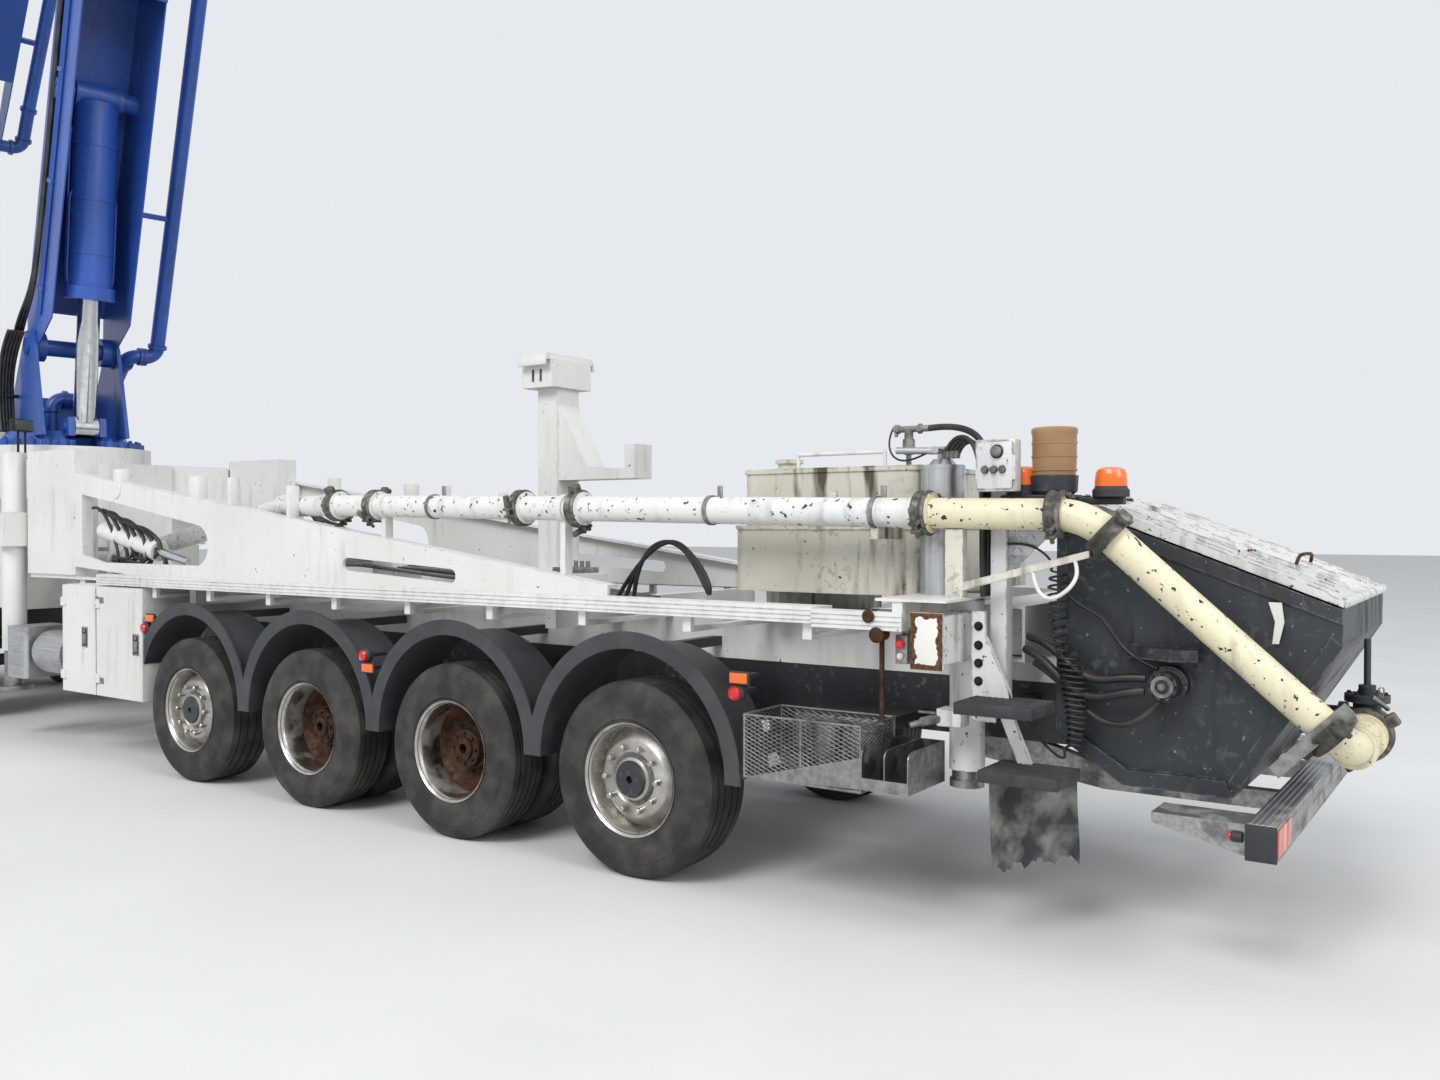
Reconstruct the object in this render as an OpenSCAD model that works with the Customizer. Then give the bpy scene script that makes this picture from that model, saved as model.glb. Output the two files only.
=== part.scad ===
// Truck-mounted concrete pump: six axles, four-section placing boom, four outriggers.
// +X is forward, +Y is the truck's left, +Z is up. Lengths along the truck are
// measured from the last axle and moved to the middle of the machine by datum_x.

/* [Overall] */
// From the last axle forward to the front bumper
front_reach = 11900; // [11600:10:12600]
// From the last axle back to the end of the delivery outlet
rear_reach = 3360; // [3300:10:3600]
// Half the width of the body, at the deck rails and fenders
half_w = 1250; // [1200:5:1275]
// Half the width over the mirrors
mirror_half_w = 1470; // [1420:5:1520]
// From the middle of the whole width, leaning boom included, to the truck's middle
side_shift = 156.49; // [0:0.01:200]

/* [Wheels and axles] */
// Loaded radius of every tyre
tyre_r = 515; // [500:1:540]
// Width of a single tyre
single_w = 365; // [320:5:385]
// Width of one tyre of a pair
twin_w = 300; // [280:5:315]
// Gap between the tyres of a pair
twin_gap = 35; // [25:5:60]
// Outer radius of the rim flange
rim_r = 298; // [290:1:305]
// Spacing of the four rear axles
axle_gap = 1350; // [1300:5:1400]
// From the last axle to the second axle
axle_2_x = 8700; // [8500:10:8900]
// From the last axle to the first axle
axle_1_x = 10400; // [10300:10:10600]
// Distance of the kingpins from the middle of the truck
kingpin_y = 930; // [900:5:950]
// Radius of a kingpin
kingpin_r = 32; // [25:1:40]

/* [Frame] */
// Top of the frame rails
rail_top = 1080; // [1040:5:1120]
// Height of a frame rail
rail_h = 290; // [250:5:320]
// Half the distance over the frame rails
rail_half = 425; // [400:5:440]
// Width of a rail's flange
rail_flange = 85; // [70:5:100]
// Thickness of the frame rails
rail_t = 10; // [8:1:14]

/* [Subframe and deck] */
// Top of the deck rail along each side
deck_z = 1460; // [1420:5:1500]
// Height of the deck rail
deck_rail_h = 80; // [60:5:100]
// Half the distance over the two sloping side beams
beam_half = 1050; // [980:5:1080]
// Plate thickness of the side beams
beam_t = 20; // [12:1:30]
// Width of the side beams' top flange
beam_flange = 90; // [60:5:120]
// Top of the boom rest's pad
rest_z = 2980; // [2900:5:3050]
// Boom rest, from the last axle
rest_x = 1650; // [1500:5:1800]

/* [Slewing and turret] */
// Slewing axis, from the last axle
slew_x = 8300; // [8200:5:8400]
// Radius of the slewing ring
slew_r = 710; // [650:5:760]
// Top of the fixed ring
slew_z = 2600; // [2550:5:2650]
// Rest angle of the boom, left of straight back
slew_rest = 10; // [6:1:12]
// Boom pivot, behind the slewing axis
pivot_x = 200; // [150:5:250]
// Boom pivot, height above the ground
pivot_z = 3580; // [3540:5:3620]
// Rod pin, behind the slewing axis
foot_x = 560; // [540:5:580]
// Rod pin, height above the ground
foot_z = 2790; // [2780:5:2820]

/* [Boom] */
// Rest angle of the first section above level
lift_rest = 70.5; // [65:0.5:75]
// Length of each section between its pins
arm_l = [11900, 11000, 10600, 10200];
// Overall width of each section
arm_w = [700, 420, 300, 240];
// Distance from each section's axis to its straight, folding side
arm_top = [260, 170, 150, 110];
// Depth of each section at its root
arm_root_h = [760, 400, 320, 250];
// Depth of each section at its tip
arm_tip_h = [430, 300, 250, 180];
// Plate thickness of the sections
arm_t = 12; // [8:1:16]
// Running gap between two folded sections
fold_gap = 25; // [20:5:60]
// Rest opening of the second section from its folded place
fold_rest = 20; // [15:1:25]
// Outside radius of the delivery pipe
pipe_r = 70; // [60:1:80]

/* [Outriggers] */
// Radius of the curved front beams
curve_r = 3000; // [2900:10:3100]
// Front legs, from the last axle
front_leg_x = 7000; // [6950:5:7050]
// Outrigger legs, from the middle of the truck
leg_y = 1080; // [1060:5:1100]
// Radius of a leg's tube
leg_r = 95; // [85:1:105]
// Radius of a leg's foot
foot_r = 150; // [130:5:170]
// Ground clearance of the stowed feet
foot_clear = 420; // [380:5:450]
// Rear outrigger housing, behind the last axle
rear_box_x = 1680; // [1640:5:1700]

/* [Hopper] */
// Front wall of the hopper, behind the last axle
hopper_front = 2080; // [2050:5:2120]
// Rear lip of the hopper, behind the last axle
hopper_back = 3230; // [3200:5:3260]
// Half the outside width of the hopper
hopper_half = 720; // [680:5:760]
// Plate thickness of the hopper
hopper_t = 12; // [8:1:20]

/* [Cab] */
// Back wall of the cab, from the last axle
cab_back = 9560; // [9500:10:9620]
// Top of the cab's roof
cab_roof = 3150; // [3100:10:3250]
// Underside of the cab's floor
cab_floor = 1240; // [1200:10:1280]
// Thickness of the cab's walls and doors
cab_t = 45; // [35:1:60]

/* [Hidden] */
$fn = 48;
// Gap of a running fit or of a seat between two bodies
run_gap = 0.3;
// Gap between pieces that move past each other
clear = 6;
datum_x = (rear_reach - front_reach) / 2;
wheel_z = tyre_r;
rim_bore_r = rim_r - 32;
// Rear axles from the last forward, as distances from the last axle
rear_axles = [0, axle_gap, 2 * axle_gap, 3 * axle_gap];
// Hub faces: where the wheel meets the axle end
hub_y = 1010;
twin_in = half_w - 2 * twin_w - twin_gap;
twin_hub_y = twin_in + 40;

module on_truck() { translate([datum_x, -side_shift, 0]) children(); }
module both_sides() { children(); mirror([0, 1, 0]) children(); }
// A box given by its limits on each axis
module block(x, y, z) {
    translate([x[0], y[0], z[0]]) cube([x[1] - x[0], y[1] - y[0], z[1] - z[0]]);
}
// A flat outline in X and Z, from y0 to y1
module slab(points, y0, y1) {
    translate([0, y1, 0]) rotate([90, 0, 0]) linear_extrude(y1 - y0) polygon(points);
}
// A round bar from point a to point b
module bar(a, b, r) {
    v = b - a;
    l = norm(v);
    translate(a) rotate([0, acos(v[2] / l), atan2(v[1], v[0])]) cylinder(r = r, h = l);
}
// A round bar along Y through (x, z)
module cross_bar(x, z, r, y0, y1) {
    translate([x, y0, z]) rotate([-90, 0, 0]) cylinder(r = r, h = y1 - y0);
}
// A plate in Y and Z from x0 to x1 whose upper outer corner is round
module fin(x0, x1, y, z, r) {
    block([x0, x1], [y[0], y[1] - r], z);
    block([x0, x1], [y[0], y[1]], [z[0], z[1] - r]);
    translate([x0, y[1] - r, z[1] - r]) rotate([0, 90, 0]) cylinder(r = r, h = x1 - x0);
}
// A box with round upright edges
module round_box(x, y, z, r) {
    block([x[0] + r, x[1] - r], y, z);
    block(x, [y[0] + r, y[1] - r], z);
    for (cx = [x[0] + r, x[1] - r], cy = [y[0] + r, y[1] - r])
        translate([cx, cy, z[0]]) cylinder(r = r, h = z[1] - z[0]);
}
// A run of pipe through a list of points. A sharp bend is an elbow between two clamp rings,
// a slight one is a single ring. Straights stop short of the elbow, inside the ring.
bend_r = 120;
wide_bend_r = 300;
wide_turn = 50;
ring_half = 18;
ring_over = 20;
slight_turn = 20;
ring_inset = 2;
function unit(v) = v / norm(v);
function turn_at(p, i) = acos(unit(p[i] - p[i - 1]) * unit(p[i + 1] - p[i]));
function bend_radius(p, i) = turn_at(p, i) < wide_turn ? wide_bend_r : bend_r;
function bend_cut(p, i) = turn_at(p, i) < slight_turn ? 0 : bend_radius(p, i) * tan(turn_at(p, i) / 2);
module ring(at, along, r) { bar(at - ring_half * along, at + ring_half * along, r + ring_over); }
module elbow(p, i, r) {
    u = unit(p[i] - p[i - 1]);
    v = unit(p[i + 1] - p[i]);
    n = unit(v - (u * v) * u);
    w = cross(n, u);
    c = p[i] - bend_cut(p, i) * u + bend_radius(p, i) * n;
    multmatrix([[-n[0], u[0], -w[0], c[0]], [-n[1], u[1], -w[1], c[1]], [-n[2], u[2], -w[2], c[2]],
        [0, 0, 0, 1]])
        rotate_extrude(angle = turn_at(p, i)) translate([bend_radius(p, i), 0]) circle(r = r);
}
module pipe_run(p, r) {
    last = len(p) - 1;
    for (i = [0 : last - 1]) {
        u = unit(p[i + 1] - p[i]);
        start = i == 0 ? 0 : bend_cut(p, i) + ring_inset;
        end = i + 1 == last ? 0 : bend_cut(p, i + 1) + ring_inset;
        bar(p[i] + start * u, p[i + 1] - end * u, r);
    }
    for (i = [1 : last - 1]) {
        u = unit(p[i] - p[i - 1]);
        v = unit(p[i + 1] - p[i]);
        ring(p[i] - bend_cut(p, i) * u, u, r);
        if (turn_at(p, i) >= slight_turn) {
            elbow(p, i, r);
            ring(p[i] + bend_cut(p, i) * v, v, r);
        }
    }
}

// Chassis frame
rail_end = -hopper_front + run_gap;
module rail() {
    difference() {
        block([rail_end, 11250], [rail_half - rail_flange, rail_half], [rail_top - rail_h, rail_top]);
        block([rail_end - 1, 11251], [rail_half - rail_flange - 1, rail_half - rail_t],
            [rail_top - rail_h + rail_t, rail_top - rail_t]);
    }
}
cross_members = [-1700, -700, 675, 2025, 3375, 4800, 6300, 7700, 9400, 11150];
module chassis() {
    color("dimgray") on_truck() union() {
        both_sides() rail();
        for (x = cross_members)
            block([x - 40, x + 40], [-rail_half + rail_t, rail_half - rail_t],
                [rail_top - rail_h + rail_t, x < pump_x[1] ? pump_low - run_gap : rail_top - rail_t]);
    }
}

// Fixed axles: beams of the steered axles, housings of the driven ones
module spring_pack(x) {
    both_sides() {
        block([x - 480, x + 480], [300, 380], [wheel_z + 90, wheel_z + 130]);
        block([x - 60, x + 60], [295, 385], [wheel_z + 40, wheel_z + 91]);
        for (e = [-480, 430])
            block([x + e, x + e + 50], [300, 380], [wheel_z + 130, rail_top - rail_h - run_gap]);
    }
}
module steer_beam(x) {
    difference() {
        union() {
            block([x - 55, x + 55], [-kingpin_y + 40, kingpin_y - 40], [wheel_z - 60, wheel_z + 45]);
            both_sides() translate([x, kingpin_y, wheel_z - 60]) cylinder(r = 62, h = 120);
        }
        both_sides() translate([x, kingpin_y, wheel_z - 70])
            cylinder(r = kingpin_r + run_gap, h = 140);
    }
}
module drive_axle(x) {
    cross_bar(x, wheel_z, 80, -twin_hub_y + run_gap, twin_hub_y - run_gap);
    translate([x, 0, wheel_z]) sphere(r = 210);
    cross_bar(x, wheel_z, 150, -120, 120);
}
module axles() {
    color("dimgray") on_truck() union() {
        for (x = [axle_1_x, axle_2_x, 0]) {
            steer_beam(x);
            spring_pack(x);
        }
        cross_bar(3 * axle_gap, wheel_z, 70, -hub_y + run_gap, hub_y - run_gap);
        spring_pack(3 * axle_gap);
        for (x = [axle_gap, 2 * axle_gap]) {
            drive_axle(x);
            spring_pack(x);
        }
    }
}

// Engine and gearbox as one block on four feet
module engine_block() {
    color("gray") on_truck() {
        block([9650, 11050], [-290, 290], [660, 1180]);
        for (x = [10100, 10950]) block([x, x + 90],
            [-rail_half + rail_flange + run_gap, rail_half - rail_flange - run_gap], [700, 780]);
        for (x = [10100, 10950]) block([x, x + 90], [-rail_half, rail_half],
            [700, rail_top - rail_h - run_gap]);
    }
}

// Wheels: the profile is (radius, distance along the axle), outside of the truck up
tyre_shoulder = 45;
module tyre(w, inner) {
    rotate_extrude($fn = 64) polygon([
        [rim_bore_r + 14, inner + 18], [rim_r + 15, inner + 12], [tyre_r - 130, inner],
        [tyre_r - 70, inner + 4], [tyre_r - 18, inner + 24], [tyre_r, inner + tyre_shoulder],
        [tyre_r, inner + w - tyre_shoulder], [tyre_r - 18, inner + w - 24],
        [tyre_r - 70, inner + w - 4], [tyre_r - 130, inner + w], [rim_r + 15, inner + w - 12],
        [rim_bore_r + 14, inner + w - 18]]);
}
module rim(w, inner) {
    rotate_extrude($fn = 64) polygon([
        [rim_bore_r, inner + 30], [rim_r - 12, inner + 14], [rim_r, inner + 14],
        [rim_r, inner + 26], [rim_bore_r + 14.5, inner + 38],
        [rim_bore_r + 14.5, inner + w - 38], [rim_r, inner + w - 26],
        [rim_r, inner + w - 14], [rim_r - 12, inner + w - 14], [rim_bore_r, inner + w - 30]]);
}
nut_count = 10;
module nuts(face, r, pcd_r) {
    for (i = [0 : nut_count - 1]) rotate([0, 0, 360 * i / nut_count])
        translate([pcd_r, 0, face]) cylinder(r = r, h = 32);
}
module single_wheel() {
    inner = half_w - single_w;
    rotate([-90, 0, 0]) {
        tyre(single_w, inner);
        rim(single_w, inner);
        rotate_extrude($fn = 64) polygon([
            [0, hub_y], [120, hub_y], [125, half_w - 110], [200, half_w - 70],
            [rim_bore_r + 2, half_w - 130], [rim_bore_r + 2, half_w - 112],
            [205, half_w - 52], [95, half_w - 52], [92, half_w - 30], [0, half_w - 30]]);
        nuts(half_w - 60, 17, 168);
    }
}
module twin_wheel() {
    rotate([-90, 0, 0]) {
        for (inner = [twin_in, half_w - twin_w]) {
            tyre(twin_w, inner);
            rim(twin_w, inner);
        }
        rotate_extrude($fn = 64) polygon([
            [0, twin_hub_y], [190, twin_hub_y], [200, twin_in + twin_w - 60],
            [rim_bore_r + 2, twin_in + twin_w - 90], [rim_bore_r + 2, twin_in + twin_w - 60],
            [200, twin_in + twin_w + 20], [rim_bore_r + 2, half_w - twin_w + 60],
            [rim_bore_r + 2, half_w - twin_w + 90], [195, twin_in + twin_w + 60],
            [125, twin_in + twin_w + 60], [120, half_w - 120], [75, half_w - 95],
            [0, half_w - 95]]);
        nuts(twin_in + twin_w + 50, 17, 168);
    }
}
module wheel_at(x, left) {
    on_truck() translate([x, 0, wheel_z]) mirror([0, left ? 0 : 1, 0]) children();
}
module wheel_1_left() { color("dimgray") wheel_at(axle_1_x, true) single_wheel(); }
module wheel_1_right() { color("dimgray") wheel_at(axle_1_x, false) single_wheel(); }
module wheel_2_left() { color("dimgray") wheel_at(axle_2_x, true) single_wheel(); }
module wheel_2_right() { color("dimgray") wheel_at(axle_2_x, false) single_wheel(); }
module wheel_3_left() { color("dimgray") wheel_at(3 * axle_gap, true) single_wheel(); }
module wheel_3_right() { color("dimgray") wheel_at(3 * axle_gap, false) single_wheel(); }
module wheel_4_left() { color("dimgray") wheel_at(2 * axle_gap, true) twin_wheel(); }
module wheel_4_right() { color("dimgray") wheel_at(2 * axle_gap, false) twin_wheel(); }
module wheel_5_left() { color("dimgray") wheel_at(axle_gap, true) twin_wheel(); }
module wheel_5_right() { color("dimgray") wheel_at(axle_gap, false) twin_wheel(); }
module wheel_6_left() { color("dimgray") wheel_at(0, true) single_wheel(); }
module wheel_6_right() { color("dimgray") wheel_at(0, false) single_wheel(); }

// Steering knuckle: kingpin, fork and stub axle
module knuckle() {
    translate([0, kingpin_y, -110]) cylinder(r = kingpin_r, h = 220);
    for (z = [-110, 61]) translate([0, kingpin_y, z]) cylinder(r = 60, h = 49);
    block([-50, 50], [kingpin_y + 64, hub_y - run_gap], [-110, 110]);
    for (z = [[-110, -61], [61, 110]]) block([-50, 50], [kingpin_y, kingpin_y + 66], z);
}
module knuckle_1_left() { color("dimgray") wheel_at(axle_1_x, true) knuckle(); }
module knuckle_1_right() { color("dimgray") wheel_at(axle_1_x, false) knuckle(); }
module knuckle_2_left() { color("dimgray") wheel_at(axle_2_x, true) knuckle(); }
module knuckle_2_right() { color("dimgray") wheel_at(axle_2_x, false) knuckle(); }
module knuckle_6_left() { color("dimgray") wheel_at(0, true) knuckle(); }
module knuckle_6_right() { color("dimgray") wheel_at(0, false) knuckle(); }

// Cab: side outline, hollow, with door openings and windows
cab_front_x = front_reach;
cab_outline = [[cab_back, cab_floor], [cab_front_x - 60, cab_floor], [cab_front_x - 30, 1900],
    [cab_front_x - 330, cab_roof - 120], [cab_front_x - 520, cab_roof], [cab_back + 60, cab_roof],
    [cab_back, cab_roof - 60]];
cab_inner = [[cab_back + cab_t, cab_floor + cab_t], [cab_front_x - 110, cab_floor + cab_t],
    [cab_front_x - 82, 1890], [cab_front_x - 375, cab_roof - 150],
    [cab_front_x - 540, cab_roof - cab_t], [cab_back + 80, cab_roof - cab_t],
    [cab_back + cab_t, cab_roof - 80]];
door_x = [10050, 11330];
door_outline = [[door_x[0], 1330], [door_x[1] + 50, 1330], [door_x[1] + 50, 2080],
    [door_x[1] - 190, 2940], [door_x[0] + 40, 3010], [door_x[0], 2960]];
door_window = [[door_x[0] + 90, 2160], [door_x[1] - 60, 2160], [door_x[1] - 240, 2860],
    [door_x[0] + 90, 2880]];
arch_r = 690;
// Grille slots: half width, height, first sill, pitch
grille = [800, 50, 1330, 95];
// Headlamp recess: from and to across, low and high, depth
lamp_hole = [720, 1120, 610, 790, 40];
// Entry steps between the wheel arch and the bumper
step_x = [11110, 11481];
step_sills = [600, 880];
screen_half = 1060;
screen_z = [1990, 2950];
// Rear window: half width, sill, head
rear_window = [450, 2300, 2750];
tow_r = 22;
module entry_steps() {
    difference() {
        block(step_x, [960, half_w], [480, cab_floor + 1]);
        for (z = step_sills) block([step_x[0] + 30, step_x[1] - 30], [1080, half_w + 1], [z, z + 190]);
    }
}
module cab_shell() {
    color("white") on_truck() difference() {
        union() {
            both_sides() {
                mirror_arm();
                for (z = hinge_z) hinge_lugs(z);
                for (x = [9700, 11050]) block([x, x + 100], [330, 420], [rail_top, cab_floor + 1]);
            }
            difference() {
                slab(cab_outline, -half_w, half_w);
                slab(cab_inner, -half_w + cab_t, half_w - cab_t);
            }
            both_sides() entry_steps();
            // Sun visor
            slab([[cab_front_x - 400, cab_roof - 90], [cab_front_x - 120, cab_roof - 190],
                [cab_front_x - 110, cab_roof - 170], [cab_front_x - 400, cab_roof - 60]], -1050, 1050);
            // Bumper, below the cab's front
            difference() {
                block([cab_front_x - 420, cab_front_x], [-half_w, half_w], [420, cab_floor + 1]);
                block([cab_front_x - 421, cab_front_x - 80], [-half_w + 60, half_w - 60],
                    [460, cab_floor - 20]);
                block([cab_front_x - 421, cab_front_x - 200], [-half_w + 60, half_w - 60],
                    [419, 461]);
                translate([axle_1_x, 0, wheel_z]) rotate([90, 0, 0])
                    cylinder(r = arch_r, h = 2 * half_w + 2, center = true);
            }
        }
        both_sides() slab(door_outline, half_w - cab_t - 1, half_w + 1);
        // Windscreen
        block([cab_front_x - 450, cab_front_x + 50], [-screen_half, screen_half], screen_z);
        // Grille, headlamps and the air intake in the bumper
        for (i = [0 : 5]) block([cab_front_x - 82, cab_front_x + 1], [-grille[0], grille[0]],
            [grille[2] + i * grille[3], grille[2] + i * grille[3] + grille[1]]);
        both_sides() block([cab_front_x - lamp_hole[4], cab_front_x + 1], [lamp_hole[0], lamp_hole[1]],
            [lamp_hole[2], lamp_hole[3]]);
        block([cab_front_x - lamp_hole[4], cab_front_x + 1], [-560, 560], [560, 760]);
        // Tow pin hole, upright in the bumper's floor
        translate([cab_front_x - 140, 0, 300]) cylinder(r = tow_r, h = 400);
        // Rear window
        block([cab_back - 1, cab_back + cab_t + 1], [-rear_window[0], rear_window[0]],
            [rear_window[1], rear_window[2]]);
    }
}
// Door hinges: their place along and across, pin radius, heights
hinge_x = door_x[1] + 47;
hinge_y = half_w + 15;
hinge_r = 8;
hinge_z = [1500, 1950];
hinge_h = 60;
module hinge_lugs(z) {
    translate([hinge_x, hinge_y, z - 20]) cylinder(r = hinge_r, h = hinge_h + 40);
    for (low = [z - 20, z + hinge_h + 1]) {
        block([hinge_x - 10, hinge_x + 35], [half_w + 8, hinge_y + 10], [low, low + 19]);
        block([hinge_x + 7, hinge_x + 35], [half_w - 1, half_w + 9], [low, low + 19]);
    }
}
module cab_door() {
    for (z = hinge_z) difference() {
        union() {
            translate([hinge_x, hinge_y, z]) cylinder(r = 14, h = hinge_h);
            block([hinge_x - 32, hinge_x], [half_w - 1, hinge_y], [z, z + hinge_h]);
        }
        translate([hinge_x, hinge_y, z - 1]) cylinder(r = hinge_r + run_gap, h = hinge_h + 2);
        block([hinge_x - 4, hinge_x + 20], [half_w - 2, half_w + 0.6], [z - 1, z + hinge_h + 1]);
    }
    difference() {
        slab([for (p = door_outline) [p[0] + (p[0] > 10600 ? -clear : clear),
            p[1] + (p[1] > 2000 ? (p[1] > 2500 ? -clear : 0) : clear)]],
            half_w - cab_t, half_w);
        slab(door_window, half_w - cab_t - 1, half_w + 1);
    }
}
module mirror_arm() {
    block([door_x[1] + 90, door_x[1] + 150], [half_w - cab_t, mirror_half_w - 120], [2720, 2760]);
    block([door_x[1] + 70, door_x[1] + 170], [mirror_half_w - 200, mirror_half_w], [2150, 2770]);
}
module cab_door_left() { color("white") on_truck() cab_door(); }
module cab_door_right() { color("white") on_truck() mirror([0, 1, 0]) cab_door(); }
glass_t = 6;
// Place of the windscreen's outer face at height z
function screen_x(z) = cab_front_x - 30 - 300 * (z - 1900) / 1130 - 15;
module cab_glass() {
    color("lightblue") on_truck() {
        low = screen_z[0] + run_gap;
        high = screen_z[1] - run_gap;
        slab([[screen_x(low) - glass_t, low], [screen_x(low), low], [screen_x(high), high],
            [screen_x(high) - glass_t, high]], -screen_half + run_gap, screen_half - run_gap);
        block([cab_back + 10, cab_back + 10 + glass_t], [-rear_window[0] + run_gap, rear_window[0] - run_gap],
            [rear_window[1] + run_gap, rear_window[2] - run_gap]);
    }
}
module door_glass() {
    slab([[door_window[0][0] + run_gap, door_window[0][1] + run_gap],
        [door_window[1][0] - 1.5 * run_gap, door_window[1][1] + run_gap],
        [door_window[2][0] - 1.5 * run_gap, door_window[2][1] - run_gap],
        [door_window[3][0] + run_gap, door_window[3][1] - run_gap]], half_w - 25, half_w - 25 + glass_t);
}
module door_glass_left() { color("lightblue") on_truck() door_glass(); }
module door_glass_right() { color("lightblue") on_truck() mirror([0, 1, 0]) door_glass(); }
module seat(y) {
    block([10150, 10650], [y - 240, y + 240], [1700, 1830]);
    block([10090, 10200], [y - 230, y + 230], [1800, 2450]);
    block([10250, 10550], [y - 150, y + 150], [cab_floor + cab_t, 1701]);
}
module cab_interior() {
    color("darkslategray") on_truck() {
        for (y = [-600, 600]) seat(y);
        block([11350, 11700], [-1150, 1150], [1500, 1900]);
        block([11450, 11600], [-1150, 1150], [cab_floor + cab_t, 1501]);
        translate([11180, 600, 1830]) rotate([0, -35, 0]) difference() {
            cylinder(r = 225, h = 30);
            translate([0, 0, -1]) cylinder(r = 195, h = 32);
        }
        bar([11180, 600, 1850], [11400, 600, 1700], 25);
        translate([11180, 600, 1830]) rotate([0, -35, 0]) block([-200, 200], [-20, 20], [5, 25]);
    }
}

// Subframe: side beams that fall towards the rear, turret base, boom rest
beam_outline = [[6020, 2270], [300, 1510], [300, 1395], [4180, 1395], [6020, 1500]];
slot_x = [1540, 2520];
slot_r = 42;
function slot_z(x) = 1530 + (x - slot_x[0]) * 0.055;
module side_beam() {
    difference() {
        slab(beam_outline, beam_half - beam_t, beam_half);
        // Round-ended opening near the turret, then the long slot
        cross_bar(4260, 1690, 150, beam_half - 200, beam_half + 10);
        slab([[4275, 1541], [5550, 1541], [5900, 1600], [5900, 2090], [5400, 2020], [4240, 1839]],
            beam_half - 200, beam_half + 10);
        for (x = slot_x) cross_bar(x, slot_z(x), slot_r, beam_half - 200, beam_half + 10);
        slab([[slot_x[0], slot_z(slot_x[0]) - slot_r], [slot_x[1], slot_z(slot_x[1]) - slot_r],
            [slot_x[1], slot_z(slot_x[1]) + slot_r], [slot_x[0], slot_z(slot_x[0]) + slot_r]],
            beam_half - 200, beam_half + 10);
    }
    // Top flange follows the slope
    slab([[6020, 2270], [300, 1510], [300, 1510 - beam_t], [6020, 2270 - beam_t]],
        beam_half - beam_flange, beam_half);
}
module beam_path(left) {
    // Space of a curved beam inside its housing
    curve_section(housing_w - 2 * housing_t, housing_z[left ? 0 : 1] + housing_t,
        housing_z[left ? 0 : 1] + housing_h - housing_t, -1, 47);
}
module turret_base() {
    difference() {
        union() {
            block([7350, 9250], [-850, 850], [rail_top, housing_z[0] + 1]);
            translate([slew_x, 0, 1600]) cylinder(r = slew_r + 60, h = slew_z - 1600, $fn = 96);
        }
        translate([slew_x, 0, 1590]) cylinder(r = slew_r - 60, h = slew_z, $fn = 96);
    }
}
// Curved housings of the front beams, one above the other
housing_z = [1640, 2080];
housing_h = 330;
housing_w = 330;
housing_t = 12;
module curve_section(w, z0, z1, a0, a1) {
    // Angles count from the leg towards the middle of the truck
    translate([front_leg_x + curve_r, leg_y, z0]) rotate([0, 0, 180 + a0])
        rotate_extrude(angle = a1 - a0, $fn = 160)
            translate([curve_r - w / 2, 0]) square([w, z1 - z0]);
}
module curve_housing(z) {
    curve_section(housing_w, z, z + housing_h, 4, 46);
}
// Narrow mouth of a housing that guides its beam
module collar(z) {
    inset = housing_t + beam_gap - run_gap;
    difference() {
        curve_section(housing_w - 2, z + 1, z + housing_h - 1, 4.3, 7);
        curve_section(housing_w - 2 * inset, z + inset, z + housing_h - inset, 4, 8);
    }
}
// Box on each side between the side beam and the leg, open to the front
shoulder_x = 6820;
shoulder_z = 2470;
module shoulder() {
    difference() {
        block([6019, shoulder_x], [860, beam_half], [1429, shoulder_z]);
        block([6019 + beam_t, shoulder_x + 1], [860 + beam_t, beam_half - beam_t],
            [1429 + beam_t, shoulder_z - beam_t]);
    }
}
// Saddle posts on the side beams that carry the deck pipe
saddles = [660, 2200];
module saddle(x) {
    block([x - 20, x + 20], [pipe_y - 30, pipe_y + 30], [beam_top_z(x) - 12, deck_pipe_z(x) - pipe_r - 1]);
}
function beam_top_z(x) = 1510 + (x - 300) * (2270 - 1510) / (6020 - 300);
module boom_rest() {
    block([rest_x - 180, rest_x + 120], [-331, 331], [rail_top, 1500]);
    block([rest_x - 110, rest_x + 60], [-110, 110], [1499, 2780]);
    slab([[rest_x + 60, 2140], [rest_x - 740, 2140], [rest_x - 740, 2200], [rest_x - 360, 2220],
        [rest_x - 109, 2650], [rest_x + 60, 2650]], -90, 90);
    block([rest_x - 150, rest_x + 130], [-190, 190], [2760, 2940]);
    block([rest_x - 130, rest_x + 110], [-230, 230], [2939, rest_z]);
    block([rest_x - 760, rest_x - 680], [-90, 90], [2139, 2360]);
}
rear_box_z = [1200, 1460];
rear_box_y = 700;
rear_box_w = 160;
rear_box_t = 14;
module rear_box(y_in, y_out, x) {
    difference() {
        block([x - rear_box_w / 2, x + rear_box_w / 2], [y_in, y_out], rear_box_z);
        block([x - rear_box_w / 2 + rear_box_t, x + rear_box_w / 2 - rear_box_t], [y_in - 1, y_out + 1],
            [rear_box_z[0] + rear_box_t, rear_box_z[1] - rear_box_t]);
    }
    // Mouth that guides the beam
    guide = rear_box_t + beam_gap - run_gap;
    difference() {
        block([x - rear_box_w / 2 + 1, x + rear_box_w / 2 - 1], [y_out - 60, y_out],
            [rear_box_z[0] + 1, rear_box_z[1] - 1]);
        block([x - rear_box_w / 2 + guide, x + rear_box_w / 2 - guide], [y_out - 61, y_out + 1],
            [rear_box_z[0] + guide, rear_box_z[1] - guide]);
    }
}
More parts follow.
